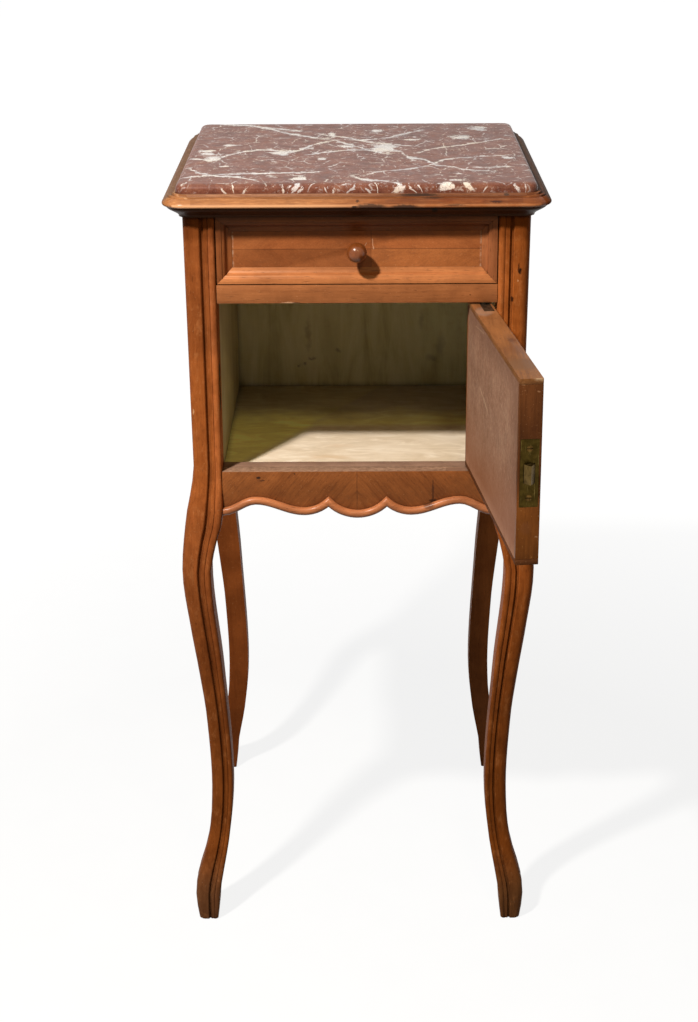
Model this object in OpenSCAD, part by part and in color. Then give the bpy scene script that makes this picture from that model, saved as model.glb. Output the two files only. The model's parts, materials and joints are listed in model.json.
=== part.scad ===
// Bedside pot cupboard: marble top, a drawer over a door, and four cabriole legs.
// Millimetres. +Z is up, the front faces -Y, and the origin is on the floor under
// the middle of the case. The door is drawn shut and then turned open on its pivots.

/* [Case] */
// Width of the case over its corner posts
case_w = 354; // [330:1:400]
// Depth of the case over its corner posts
case_d = 372; // [340:1:420]
// Height of the door sill above the floor
sill_z = 545; // [530:1:560]
// Height of the door opening
opening_h = 183.8; // [150:0.1:195]
// Height of the rail between the door and the drawer
rail_h = 19.4; // [14:0.1:30]
// Height of the drawer opening
drawer_opening_h = 71.3; // [50:0.1:110]
// Front-to-back depth of the rail and of the sill
rail_d = 33.5; // [28:0.5:45]
// How far the drawer, door, rail and apron lie behind the posts' front faces
front_recess = 2.5; // [1:0.1:4]
// Width of a corner post, the same both ways
post_w = 33; // [28:0.5:36]

/* [Top] */
// Thickness of the marble
marble_t = 16; // [12:0.5:20]
// Width of wood that shows in front of the marble and beside it
marble_margin = 14; // [12:0.5:20]
// Width of wood that shows behind the marble
marble_margin_back = 11; // [11:0.5:20]
// Height of the marble above the wood around it
marble_show = 9.3; // [7:0.1:9.8]
// Radius of the marble's corners, seen from above
marble_corner_r = 12; // [9:0.5:14]
// Radius of the marble's rounded top edge
marble_edge_r = 6.5; // [3:0.5:6.5]
// How far the top overhangs the case at its sides
top_overhang = 19.5; // [18:0.5:26]
// How far the top overhangs the case at its front
top_overhang_front = 20.5; // [18:0.5:26]
// How far the top overhangs the case at its back
top_overhang_back = 1; // [0:0.5:10]
// Radius of the top's front corners, seen from above
top_corner_r = 24; // [20:0.5:30]
// Radius of the top's rear corners, seen from above
top_corner_back_r = 28; // [20:0.5:30]
// Width of a member of the frame that carries the marble
frame_w = 58; // [56:1:80]
// Thickness of the frame under the marble
seat_t = 5.5; // [4.5:0.5:7]
// Height of the moulding under the top
under_h = 12.5; // [9:0.5:16]
// How far the moulding under the top stands out from the posts
under_out = 16; // [12:0.5:17]

/* [Legs] */
// Height of the knee
knee_z = 433; // [415:1:445]
// How far the knee stands out beyond the case
knee_out = 12.4; // [8:0.1:20]
// How far the knee's inner side lies inside the case
knee_in = 18.7; // [12:0.1:22]
// Height of the ankle
ankle_z = 172; // [160:1:200]
// How far the ankle's outer side lies inside the case
ankle_out = 10; // [5:0.1:14]
// How far the ankle's inner side lies inside the case
ankle_in = 34.3; // [31:0.1:38]
// Height of the widest place of the foot
foot_z = 36; // [30:1:45]
// How far the foot stands out beyond the case
foot_out = 11; // [8:0.1:16]
// How far the foot's inner side lies inside the case
foot_in = 17.3; // [12:0.1:20]
// How far the leg's end on the floor stands out beyond the case
toe_out = 8; // [7:0.1:14]
// How far the leg's end on the floor lies inside the case
toe_in = 13.9; // [10:0.1:16]
// Height of the slight hollow between the knee and the post
neck_z = 550; // [545:1:575]
// Depth of the slight hollow between the knee and the post
neck_out = 2.4; // [0:0.1:2.4]
// Height at which the leg's inner side leaves the straight post
post_end_z = 498; // [485:1:499]

/* [Carving] */
// Width of the bead along a post's inner edge
bead_w = 8; // [6:0.1:9]
// Width of the flat strip beside the bead
strip_w = 3.8; // [2.5:0.1:5]
// Depth of the strip below the post's face
strip_sink = 1.1; // [0.5:0.1:2]
// Width of the groove
groove_w = 3.8; // [2.5:0.1:4.5]
// Depth of the groove
groove_depth = 3.8; // [2:0.1:4.5]
// Radius of a post's outer corner
post_corner_r = 9; // [5:0.5:10]

/* [Apron] */
// Thickness of the shaped apron
apron_t = 18; // [14:0.5:22]
// Width of the bead along the apron's lower edge
apron_bead_w = 9; // [6:0.1:10]
// Distance from the middle to a point between two scallops
cusp_x = 31; // [26:0.5:36]
// Drop from the sill to the bead's middle at a point between two scallops
cusp_drop = 33.5; // [31:0.1:38]
// Depth of the middle scallop below the points beside it
mid_scallop = 14; // [10:0.1:18]
// Distance from the middle to the lowest place of an outer scallop
dip_x = 57; // [52:0.5:64]
// Depth of an outer scallop below the point beside it
side_scallop = 10.8; // [8:0.1:14]
// Distance from the middle to the top of an outer arch
arch_x = 109; // [100:0.5:115]
// Rise of an outer arch above the scallop beside it
arch_rise = 12.3; // [8:0.1:16]

/* [Boards] */
// Thickness of the side panels
side_t = 14; // [9:0.5:16]
// How far the side panels lie inside the posts' outer faces
side_recess = 5; // [3:0.5:6]
// Drop from the sill to the middle of a side panel's lower edge
side_drop = 27; // [20:0.5:34]
// Rise of that edge in its two arches
side_rise = 9; // [4:0.5:12]
// Thickness of the inner lining boards
lining_t = 6; // [4:0.5:7]
// Thickness of the back panel
back_t = 8; // [6:0.5:12]
// Thickness of the compartment's floor board
floor_t = 10; // [8:0.5:14]
// Drop from the sill to the floor board's top face
floor_drop = 4.5; // [0:0.1:8]
// Thickness of the sill strip behind the apron
sill_t = 12; // [9:0.5:16]
// Thickness of the board under the drawer
dust_t = 8; // [6:0.5:12]
// Height of the upper rail between the rear posts
back_rail_h = 40; // [30:1:60]
// Thickness of the rails between the rear posts
back_rail_t = 18; // [14:0.5:24]
// Side of a bearer under the floor board
bearer_h = 12; // [9:0.5:16]
// Width of a bearer under the floor board
bearer_w = 30; // [22:0.5:36]

/* [Mouldings] */
// Width of the moulded frame on the drawer and the door
mould_w = 16; // [14:0.5:20]
// Depth of the moulded frame, from its face to the panel inside it
mould_d = 7; // [6:0.1:9]
// Width of the frame's flat outer band
band_w = 5.5; // [4:0.1:7]
// Depth of the step beside the flat band
band_step = 1; // [0.5:0.1:1.5]

/* [Drawer] */
// Gap between the drawer front and the posts
drawer_gap = 0.8; // [0.5:0.1:1.5]
// Gap above and below the drawer front
drawer_gap_z = 1; // [0.5:0.1:2]
// Thickness of the drawer front, with its moulding
drawer_front_t = 20; // [17:0.5:24]
// Gap under the drawer sides
drawer_run = 0.3; // [0.2:0.05:0.6]
// Gap between a drawer side and the lining beside it
drawer_side_gap = 1.3; // [1:0.1:2]
// Thickness of a drawer side
drawer_side_t = 9; // [7:0.5:12]
// Gap between the shut drawer and the back panel
drawer_rear_gap = 24; // [2:0.5:60]
// Thickness of the drawer's back
drawer_back_t = 8; // [6:0.5:10]
// Thickness of the drawer's bottom board
drawer_bottom_t = 5; // [4:0.5:7]
// Height of the drawer's bottom board above the lower edge of its sides
drawer_bottom_up = 6.5; // [6:0.5:10]
// Depth of the grooves that hold the bottom board
drawer_groove = 4; // [2:0.5:5]
// How much lower the drawer sides are than the drawer front
drawer_side_drop = 12; // [9:0.5:16]
// Number of dovetails at a front corner of the drawer
dovetails = 3; // [2:1:4]
// Length of the drawer's dovetails
dovetail_len = 9; // [6:0.5:11]
// Width of the two kicker strips over the drawer sides
kicker_w = 14; // [9:0.5:20]
// Thickness of the kicker strips
kicker_t = 8; // [6:0.5:10]
// Width of a block that stops the drawer
drawer_stop_w = 24; // [12:1:40]
// Thickness of a block that stops the drawer
drawer_stop_t = 9; // [6:0.5:12]
// Height of a block that stops the drawer
drawer_stop_h = 5; // [3:0.5:6]

/* [Door] */
// How far the door stands open, in degrees
door_open = 96.3; // [0:0.1:110]
// Thickness of the door, with its moulding
door_t = 22; // [20:0.5:26]
// Gap between the door and the posts
door_gap = 1.5; // [1.2:0.1:2]
// Gap under the door
door_gap_low = 1.3; // [1:0.1:2]
// Gap over the door
door_gap_top = 1.5; // [1.2:0.1:2]
// Width of the lipping round the door's edges
lipping_w = 5.5; // [4:0.1:7]
// Distance from the pivot to the door's hinge edge
pivot_in = 12; // [10:0.1:14]
// Distance from the pivot to the door's front face
pivot_back = 7.5; // [6.5:0.1:9]
// Radius of the door's front corner beside the post
swing_r = 4.5; // [4:0.1:6]
// Width of the strip that stops the door
stop_w = 8; // [6:0.5:12]
// Length of the strip that stops the door
stop_len = 70; // [40:1:120]

/* [Pivot hinges] */
// Length of a hinge leaf
leaf_len = 48; // [40:0.5:55]
// Width of a hinge leaf
leaf_w = 10.5; // [8:0.1:12]
// Thickness of a hinge leaf
leaf_t = 2; // [1.5:0.1:3]
// Diameter of a pivot pin
pin_d = 5; // [4:0.1:6]
// Clearance round a pivot pin, on the radius
pin_play = 0.05; // [0.02:0.01:0.09]
// Diameter of the collar round a pivot pin
collar_d = 9; // [7:0.1:10]
// How far a pivot pin reaches past the leaf above or below it
pin_reach = 3; // [1:0.5:5]

/* [Latch] */
// Width of the latch plate
plate_w = 17.5; // [15:0.1:18]
// Height of the latch plate
plate_h = 66; // [60:0.5:72]
// Thickness of the latch plate
plate_t = 2; // [1.5:0.1:3]
// Width of the latch's box
lock_w = 9.4; // [8:0.1:10]
// Height of the latch's box
lock_h = 40; // [30:0.5:41]
// Depth of the latch's box behind the plate
lock_d = 36; // [33:0.5:44]
// Thickness of the latch box's walls
lock_wall = 1.3; // [0.8:0.1:1.4]
// Width of the latch bolt
bolt_w = 10.4; // [8:0.1:10.5]
// Height of the latch bolt
bolt_h = 18.5; // [14:0.1:20]
// How far the bolt's nose stands out of the plate
bolt_out = 7; // [5:0.1:7.5]
// Thickness of the bolt's hollow nose
bolt_wall = 1.2; // [0.8:0.1:1.6]
// Length of the bolt's wide head behind the plate's face
head_in = 3; // [2.5:0.1:3.5]
// Length of the bolt inside the latch, tail and all
bolt_in = 17; // [14:0.5:20]
// Play round the bolt
bolt_play = 0.15; // [0.1:0.01:0.3]
// Thickness of the latch's leaf spring
spring_t = 0.8; // [0.5:0.1:1.2]
// Height of the latch's leaf spring
spring_h = 10; // [6:0.5:14]
// Distance between the plate's two screws
screw_pitch = 48; // [46:0.5:52]
// Diameter of a screw's head
screw_d = 6; // [4:0.1:8]
// Height of the strike plate
strike_h = 50; // [45:0.5:60]
// Width of the strike plate
strike_w = 15; // [14:0.1:16]
// Thickness of the strike plate
strike_t = 1.2; // [0.8:0.1:2]
// Distance between the strike plate's two screws
strike_pitch = 38; // [32:0.5:42]

/* [Knobs] */
// Diameter of a knob's ball
knob_d = 20.6; // [16:0.1:24]
// Distance from the panel to the middle of a knob's ball
knob_reach = 17.5; // [14:0.1:20]
// Diameter of a knob's neck
knob_neck_d = 7.4; // [6:0.1:9]
// Diameter of a knob's collar
knob_collar_d = 12; // [10:0.1:15]
// Diameter of the spigot that holds a knob
spigot_d = 7; // [5:0.1:7]
// Length of the spigot that holds a knob
spigot_len = 11; // [8:0.5:12]

/* [Hidden] */

walnut = [0.62, 0.33, 0.17];
light_walnut = [0.72, 0.42, 0.24];
dull_walnut = [0.5, 0.33, 0.25];
painted_pine = [0.55, 0.52, 0.33];
beech = [0.76, 0.62, 0.42];
red_marble = [0.5, 0.27, 0.23];
old_brass = [0.5, 0.42, 0.16];
grey_steel = [0.45, 0.45, 0.45];

// Depth that lets a cut run clear of the face it starts from.
clear_cut = 1;
// Clearance of the drawer and the door from their stops when shut.
stop_gap = 0.3;

// Main planes of the case.
half_w = case_w / 2;
half_d = case_d / 2;
post_x = half_w - post_w;
post_y = half_d - post_w;
face_y = front_recess - half_d;
rail_back_y = face_y + rail_d;
rail_z = sill_z + opening_h;
rail_top_z = rail_z + rail_h;
under_z = rail_top_z + drawer_opening_h;
frame_z = under_z + under_h;
marble_z = frame_z + seat_t;
total_h = marble_z + marble_t;
frame_top_z = total_h - marble_show;
back_y = post_y - back_t;
floor_z = sill_z - floor_drop;
floor_low_z = floor_z - floor_t;
dust_z = rail_top_z - dust_t;
side_in_x = half_w - side_recess - side_t;

// Outline of the top over its nose.
top_x = half_w + top_overhang;
top_front_y = -half_d - top_overhang_front;
top_back_y = half_d + top_overhang_back;
top_len_y = top_back_y - top_front_y;
top_mid_y = (top_back_y + top_front_y) / 2;

function mix(a, b, t) = a + (b - a) * t;
function unit(v) = v / norm(v);

// A box between two opposite corners.
module block(low, high) {
    translate(low) cube(high - low);
}

// Turns an outline drawn as [across, up] into a bar that runs along X from 0 to length.
module bar_x(length) {
    rotate([90, 0, 90]) linear_extrude(length) children();
}

// Turns an outline drawn as [x, z] into a plate from y0 to y1.
module plate_y(y0, y1) {
    translate([0, y1, 0]) rotate([90, 0, 0]) linear_extrude(y1 - y0) children();
}

// Turns an outline drawn as [y, z] into a plate from x0 to x1.
module plate_x(x0, x1) {
    translate([x0, 0, 0]) bar_x(x1 - x0) children();
}

// ---- Smooth curve through stations of [height, value], with no overshoot ----

function slope(p, i) = (p[i + 1][1] - p[i][1]) / (p[i + 1][0] - p[i][0]);
function tangent(p, i) =
    i == 0 || i == len(p) - 1 ? 0
    : slope(p, i - 1) * slope(p, i) <= 0 ? 0
    : 2 * slope(p, i - 1) * slope(p, i) / (slope(p, i - 1) + slope(p, i));
function span(p, z, i = 0) = i < len(p) - 2 && z > p[i + 1][0] ? span(p, z, i + 1) : i;
function curve(p, z) =
    let (i = span(p, z), h = p[i + 1][0] - p[i][0], t = (z - p[i][0]) / h,
         t2 = t * t, t3 = t2 * t)
    p[i][1] * (2 * t3 - 3 * t2 + 1) + tangent(p, i) * h * (t3 - 2 * t2 + t)
    + p[i + 1][1] * (3 * t2 - 2 * t3) + tangent(p, i + 1) * h * (t3 - t2);

// ---- Legs: a carved section lofted along the cabriole curve ----

toe_bevel = 1.5;
// A station part of the way from one height and value to the next.
function between(a, b, up, over) = [mix(a[0], b[0], up), mix(a[1], b[1], over)];

// Outer and inner side of a leg, measured out from the case's face.
foot_a = [foot_z, foot_out];
ankle_a = [ankle_z, -ankle_out];
knee_a = [knee_z, knee_out];
neck_a = [neck_z, -neck_out];
leg_outer = [
    [0, toe_out - toe_bevel], [toe_bevel, toe_out], foot_a,
    between(foot_a, ankle_a, 0.44, 0.705), between(foot_a, ankle_a, 0.68, 0.92), ankle_a,
    between(ankle_a, knee_a, 0.3, 0.143), between(ankle_a, knee_a, 0.525, 0.415),
    between(ankle_a, knee_a, 0.747, 0.732), knee_a,
    between(knee_a, neck_a, 0.52, 0.36), between(knee_a, neck_a, 0.75, 0.72), neck_a,
    between(neck_a, [frame_z, 0], 0.35, 0.4), [frame_z, 0]
];
foot_b = [foot_z, -foot_in];
ankle_b = [ankle_z, -ankle_in];
knee_b = [knee_z, -knee_in];
post_b = [post_end_z, -post_w];
leg_inner = [
    [0, toe_bevel - toe_in], [toe_bevel, -toe_in], foot_b,
    between(foot_b, ankle_b, 0.5, 0.694), between(foot_b, ankle_b, 0.84, 0.96), ankle_b,
    between(ankle_b, knee_b, 0.53, 0.436), knee_b,
    between(knee_b, post_b, 0.5, 0.43), post_b, [frame_z, -post_w]
];

// One carved face as [distance from the post's inner edge, depth below its face].
bead_r = bead_w / 2;
bead_steps = 6;
bead_end = 145;
groove_start = bead_w + strip_w;
carved_face = concat(
    [for (i = [0:bead_steps]) let (a = bead_end * i / bead_steps)
        [bead_r - bead_r * cos(a), bead_r - bead_r * sin(a)]],
    [[bead_w, strip_sink], [groove_start - 0.3, strip_sink],
     [groove_start, groove_depth * 0.8], [groove_start + groove_w * 0.45, groove_depth],
     [groove_start + groove_w * 0.9, groove_depth * 0.75],
     [groove_start + groove_w, groove_depth * 0.2], [groove_start + groove_w + 1, 0]]
);
corner_steps = 4;
corner_arc = [for (i = [0:corner_steps]) let (a = 90 - 90 * i / corner_steps)
    [post_w - post_corner_r + post_corner_r * cos(a),
     post_w - post_corner_r + post_corner_r * sin(a)]];

// The post's section, [across, out]: both outer faces carved, or only the side face.
function post_section(front) = concat(
    [[0, 0]],
    front ? [for (p = carved_face) [p[0], post_w - p[1]]] : [[0, post_w]],
    corner_arc,
    [for (i = [len(carved_face) - 1:-1:0]) [post_w - carved_face[i][1], carved_face[i][0]]]
);

// Heights of the lofted rings: close together on the curve, far apart on the post.
leg_steps = 34;
leg_rings = concat([0, toe_bevel], [for (i = [1:leg_steps]) neck_z * i / leg_steps],
                   [mix(neck_z, frame_z, 0.3), frame_z]);

module leg(front) {
    section = post_section(front);
    n = len(section);
    rings = len(leg_rings);
    points = [for (z = leg_rings)
        let (inner = curve(leg_inner, z), wide = curve(leg_outer, z) - inner)
        for (p = section)
            [half_w + inner + p[0] / post_w * wide, half_d + inner + p[1] / post_w * wide, z]];
    sides = [for (k = [0:rings - 2], i = [0:n - 1])
        let (j = (i + 1) % n)
        each [[k * n + i, k * n + j, (k + 1) * n + j],
              [k * n + i, (k + 1) * n + j, (k + 1) * n + i]]];
    bottom = [[for (i = [n - 1:-1:0]) i]];
    top = [[for (i = [0:n - 1]) (rings - 1) * n + i]];
    polyhedron(points, concat(sides, bottom, top));
}

module leg_front_left() {
    color(walnut) difference() {
        mirror([1, 0, 0]) mirror([0, 1, 0]) leg(true);
        strike_recess();
    }
}
module leg_front_right() { color(walnut) mirror([0, 1, 0]) leg(true); }
module leg_rear_left() { color(walnut) mirror([1, 0, 0]) leg(false); }
module leg_rear_right() { color(walnut) leg(false); }

// ---- Top: marble in a mitred, moulded frame ----

edge_steps = 6;
// Width of the small bevel along the marble's lower edge.
marble_bevel = 0.8;
// Edge of the marble as [distance from its side, height above its underside].
marble_edge = concat(
    [[marble_corner_r, 0], [marble_bevel, 0], [0, marble_bevel]],
    [for (i = [0:edge_steps]) let (a = 90 * i / edge_steps)
        [marble_edge_r * (1 - cos(a)), marble_t - marble_edge_r * (1 - sin(a))]],
    [[marble_corner_r, marble_t]]
);

// Half width of the marble, and where its front and rear edges lie.
marble_x = top_x - marble_margin;
marble_front_y = top_front_y + marble_margin;
marble_back_y = top_back_y - marble_margin_back;
module marble_top() {
    mx = marble_x;
    my = (marble_back_y - marble_front_y) / 2;
    cx = mx - marble_corner_r;
    cy = my - marble_corner_r;
    color(red_marble) translate([0, marble_front_y + my, marble_z]) union() {
        block([-cx - 1, -cy - 1, 0], [cx + 1, cy + 1, marble_t]);
        for (s = [-1, 1]) {
            translate([-cx, 0, 0]) bar_x(2 * cx)
                polygon([for (p = marble_edge) [s * (my - p[0]), p[1]]]);
            rotate([0, 0, 90]) translate([-cy, 0, 0]) bar_x(2 * cy)
                polygon([for (p = marble_edge) [s * (mx - p[0]), p[1]]]);
        }
        for (sx = [-1, 1], sy = [-1, 1]) translate([sx * cx, sy * cy, 0])
            rotate_extrude($fn = 64) polygon([for (p = marble_edge) [marble_corner_r - p[0], p[1]]]);
    }
}

nose_steps = 6;
slant_steps = 4;
// Radius of the nose's lower round, and how far it turns below and above its
// foremost line.
nose_r = 2.6;
nose_below = 60;
nose_above = 42;
// Where the roll above the nose ends: distance in from the nose and drop below the
// frame's flat, and how far the slant up to it bulges.
roll_in = 5.6;
roll_drop = 4;
roll_bulge = 0.45;
// Two small steps lead from the roll to the flat beside the marble.
roll_flat = 0.9;
step_in = 10.2;
step_slant = 0.3;
nose_mid = frame_z + nose_r * sin(nose_below);
roll_z = frame_top_z - roll_drop;
roll_foot = [nose_r * (1 - cos(nose_above)), nose_mid + nose_r * sin(nose_above)];
// Outer edge of the frame as [distance in from the nose, height], from below upwards.
nose_edge = concat(
    [for (i = [0:nose_steps]) let (a = mix(-nose_below, nose_above, i / nose_steps))
        [nose_r * (1 - cos(a)), nose_mid + nose_r * sin(a)]],
    [for (i = [1:slant_steps]) let (u = i / slant_steps)
        [mix(roll_foot[0], roll_in, u), mix(roll_foot[1], roll_z, u) + roll_bulge * sin(180 * u)]],
    [[roll_in + roll_flat, roll_z],
     [roll_in + roll_flat + step_slant, mix(roll_z, frame_top_z, 0.48)],
     [step_in, mix(roll_z, frame_top_z, 0.52)], [step_in + step_slant, frame_top_z]]
);
frame_section = concat([[frame_w, frame_z]], nose_edge, [[frame_w, frame_top_z]]);

// One member of the frame: nose along y = 0, the middle of its length at x = 0, with
// corners of radius r0 and r1 at its two ends.
module frame_member(length, r0, r1) {
    half = length / 2;
    intersection() {
        translate([-half, 0, 0]) bar_x(length) polygon(frame_section);
        linear_extrude(total_h) polygon([
            [r0 - half, -clear_cut], [half - r1, -clear_cut], [half - r1, r1],
            [half - frame_w, frame_w], [frame_w - half, frame_w], [r0 - half, r0]]);
    }
    translate([r0 - half, r0, 0]) frame_corner(r0, 225);
    translate([half - r1, r1, 0]) frame_corner(r1, 270);
}
// Half of a corner of the frame, from its middle to the mitre.
module frame_corner(r, turn) {
    rotate([0, 0, turn]) rotate_extrude(angle = 45, $fn = 96)
        polygon(concat([[0, frame_z]], [for (p = nose_edge) [r - p[0], p[1]]],
                       [[0, frame_top_z]]));
}

// Outline of a rectangle from low to high with corners of radius r.
turn_steps = 8;
function rounded(low, high, r) =
    [for (k = [0:3], i = [0:turn_steps])
        let (a = 90 * (k + i / turn_steps),
             x = k == 0 || k == 3 ? high[0] - r : low[0] + r,
             y = k < 2 ? high[1] - r : low[1] + r)
        [x + r * cos(a), y + r * sin(a)]];
// The space of the marble in the frame, a little squarer at its corners.
module marble_seat() {
    translate([0, 0, marble_z]) linear_extrude(marble_t)
        polygon(rounded([-marble_x, marble_front_y], [marble_x, marble_back_y],
                        marble_corner_r - 2));
}
module top_frame_front() {
    color(walnut) difference() {
        translate([0, top_front_y, 0]) frame_member(2 * top_x, top_corner_r, top_corner_r);
        marble_seat();
    }
}
module top_frame_right() {
    color(walnut) difference() {
        translate([top_x, top_mid_y, 0]) rotate([0, 0, 90])
            frame_member(top_len_y, top_corner_r, top_corner_back_r);
        marble_seat();
    }
}
module top_frame_back() {
    color(walnut) difference() {
        translate([0, top_back_y, 0]) rotate([0, 0, 180])
            frame_member(2 * top_x, top_corner_back_r, top_corner_back_r);
        marble_seat();
    }
}
module top_frame_left() {
    color(walnut) difference() {
        translate([-top_x, top_mid_y, 0]) rotate([0, 0, -90])
            frame_member(top_len_y, top_corner_back_r, top_corner_r);
        marble_seat();
    }
}

// Moulding under the top as [distance out from the post, height]: a low fillet and a
// long, shallow ogee.
ogee_steps = 8;
ogee_foot = 0.6;
under_section = concat(
    [[0, under_z], [under_out * 0.2, under_z]],
    [for (i = [0:ogee_steps]) let (u = i / ogee_steps)
        [under_out * (0.2 + 0.8 * u * u * (3 - 2 * u)),
         under_z + mix(ogee_foot, under_h * 0.85, u)]],
    [[under_out, frame_z], [0, frame_z]]
);
// Mitred eighth of a turn round a front corner of the case.
module under_corner(turn) {
    r = post_corner_r;
    rotate([0, 0, turn]) rotate_extrude(angle = 45, $fn = 64)
        polygon([for (p = under_section) [r + p[0], p[1]]]);
}
module under_moulding_front() {
    cx = half_w - post_corner_r;
    color(walnut) {
        translate([-cx, -half_d, 0]) bar_x(2 * cx)
            polygon([for (p = under_section) [-p[0], p[1]]]);
        translate([cx, post_corner_r - half_d, 0]) under_corner(270);
        mirror([1, 0, 0]) translate([cx, post_corner_r - half_d, 0]) under_corner(270);
    }
}
// The left moulding, with the strip over the side panel that it is fixed to.
module under_moulding_side() {
    y0 = post_corner_r - half_d;
    outline = [for (p = under_section) [half_w + p[0], p[1]]];
    backed = concat([[half_w - side_recess, under_z]], [for (i = [1:len(outline) - 2]) outline[i]],
                    [[half_w - side_recess, frame_z]]);
    for (run = [[y0, -post_y, outline], [-post_y, post_y, backed], [post_y, half_d, outline]])
        translate([0, run[0], 0]) rotate([0, 0, 90]) bar_x(run[1] - run[0]) polygon(run[2]);
    translate([post_corner_r - half_w, y0, 0]) under_corner(180);
}
module under_moulding_left() { color(walnut) under_moulding_side(); }
module under_moulding_right() { color(walnut) mirror([1, 0, 0]) under_moulding_side(); }

// ---- Front apron with its scalloped, beaded edge ----

cusp_z = sill_z - cusp_drop;
dip_z = cusp_z - side_scallop;
arch_z = dip_z + arch_rise;
// Radius of an arc that is deep over a half chord of half.
function arc_r(half, deep) = (half * half + deep * deep) / (2 * deep);
mid_r = arc_r(cusp_x, mid_scallop);
side_r = arc_r(dip_x - cusp_x, side_scallop);
// Height of the bead's middle at a distance x from the middle of the apron.
function bead_z(x) =
    let (a = abs(x))
    a <= cusp_x ? cusp_z - mid_scallop + mid_r - sqrt(mid_r * mid_r - a * a)
    : a <= dip_x ? dip_z + side_r - sqrt(side_r * side_r - (dip_x - a) * (dip_x - a))
    : a <= arch_x ? dip_z + arch_rise * (1 - cos(180 * (a - dip_x) / (arch_x - dip_x))) / 2
    : arch_z - arch_rise * (1 - cos(180 * (a - arch_x) / (post_x - arch_x))) / 2;
// Distances from the middle at which the edge is drawn.
half_edge = concat(
    [for (i = [0:8]) cusp_x * i / 8],
    [for (i = [1:6]) mix(cusp_x, dip_x, i / 6)],
    [for (i = [1:9]) mix(dip_x, arch_x, i / 9)],
    [for (i = [1:6]) mix(arch_x, post_x, i / 6)]
);
edge_x = concat([for (i = [len(half_edge) - 1:-1:1]) -half_edge[i]], half_edge);
edge_path = [for (x = edge_x) [x, bead_z(x)]];
last_edge = len(edge_path) - 1;
function edge_normal(i) = let (d = unit(edge_path[i + 1] - edge_path[i])) [-d[1], d[0]];
// Direction across the bead at a point, longer where two stretches meet at an angle.
function bead_across(i) =
    i == 0 ? [0, 1 / edge_normal(0)[1]]
    : i == last_edge ? [0, 1 / edge_normal(last_edge - 1)[1]]
    : let (a = edge_normal(i - 1), b = edge_normal(i)) (a + b) / (1 + a * b);
apron_r = apron_bead_w / 2;

module front_apron() {
    edge = [for (i = [0:last_edge]) edge_path[i] + apron_r * bead_across(i)];
    color(walnut) difference() {
        plate_y(face_y, face_y + apron_t)
            polygon(concat(edge, [[post_x, sill_z], [-post_x, sill_z]]));
        pivot_recess(sill_z - leaf_t, sill_z + clear_cut);
        translate([pivot_x, pivot_y, sill_z - leaf_t - pin_reach - clear_cut])
            cylinder(h = pin_reach + leaf_t, d = collar_d - 2, $fn = 48);
    }
}

// Section of the bead as [depth, across]: round in front, flat behind.
bead_front_steps = 6;
bead_section = concat(
    [for (i = [0:bead_front_steps]) let (a = 90 + 180 * i / bead_front_steps)
        apron_r * [cos(a), sin(a)]],
    [[apron_t, -apron_r], [apron_t, apron_r]]
);
module apron_bead() {
    n = len(bead_section);
    points = [for (i = [0:last_edge], p = bead_section)
        let (q = edge_path[i] + p[1] * bead_across(i)) [q[0], face_y + p[0], q[1]]];
    sides = [for (k = [0:last_edge - 1], i = [0:n - 1])
        let (j = (i + 1) % n)
        each [[k * n + i, (k + 1) * n + j, k * n + j],
              [k * n + i, (k + 1) * n + i, (k + 1) * n + j]]];
    first = [[for (i = [0:n - 1]) i]];
    last = [[for (i = [n - 1:-1:0]) last_edge * n + i]];
    color(light_walnut) polyhedron(points, concat(sides, first, last));
}

module sill_strip() {
    color(dull_walnut)
        block([-post_x, face_y + apron_t, sill_z - sill_t], [post_x, rail_back_y, sill_z]);
}

// ---- Rails, panels and boards ----

module top_rail() {
    color(walnut) block([-post_x, -half_d, under_z], [post_x, rail_back_y, frame_z]);
}
module drawer_rail() {
    color(walnut) difference() {
        block([-post_x, face_y, rail_z], [post_x, rail_back_y, rail_top_z]);
        pivot_recess(rail_z - clear_cut, rail_z + leaf_t);
        translate([pivot_x, pivot_y, rail_z])
            cylinder(h = leaf_t + pin_reach + clear_cut, d = collar_d - 2, $fn = 48);
    }
}
// Lower edge of a side panel: two low arches between the posts.
side_steps = 20;
function side_edge(y) =
    let (t = (y + post_y) / (2 * post_y))
    sill_z - side_drop - side_rise * 0.4 + side_rise * (1 - cos(720 * t)) / 2
    - side_rise * 0.6 * pow(abs(2 * t - 1), 6);
module side_panel(s) {
    edge = [for (i = [0:side_steps])
        let (y = mix(-post_y, post_y, i / side_steps)) [y, side_edge(y)]];
    x0 = s < 0 ? -half_w + side_recess : side_in_x;
    color(walnut) plate_x(x0, x0 + side_t)
        polygon(concat(edge, [[post_y, frame_z], [-post_y, frame_z]]));
}
module side_panel_left() { side_panel(-1); }
module side_panel_right() { side_panel(1); }

module lining(s) {
    x0 = s < 0 ? -post_x - lining_t : post_x;
    color(painted_pine)
        block([x0, -post_y, floor_low_z], [x0 + lining_t, post_y, frame_z]);
}
module lining_left() { lining(-1); }
module lining_right() { lining(1); }

module back_panel() {
    color(painted_pine) block([-post_x, back_y, floor_low_z], [post_x, post_y, frame_z]);
}
module floor_board() {
    color(painted_pine)
        block([-post_x, rail_back_y, floor_low_z], [post_x, back_y, floor_z]);
}
module dust_board() {
    color(painted_pine)
        block([-post_x, rail_back_y, dust_z], [post_x, back_y, rail_top_z]);
}
module floor_bearer(s) {
    x0 = s < 0 ? -side_in_x : side_in_x - bearer_w;
    color(beech) block([x0, -post_y, floor_low_z - bearer_h], [x0 + bearer_w, post_y, floor_low_z]);
}
module floor_bearer_left() { floor_bearer(-1); }
module floor_bearer_right() { floor_bearer(1); }

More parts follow.
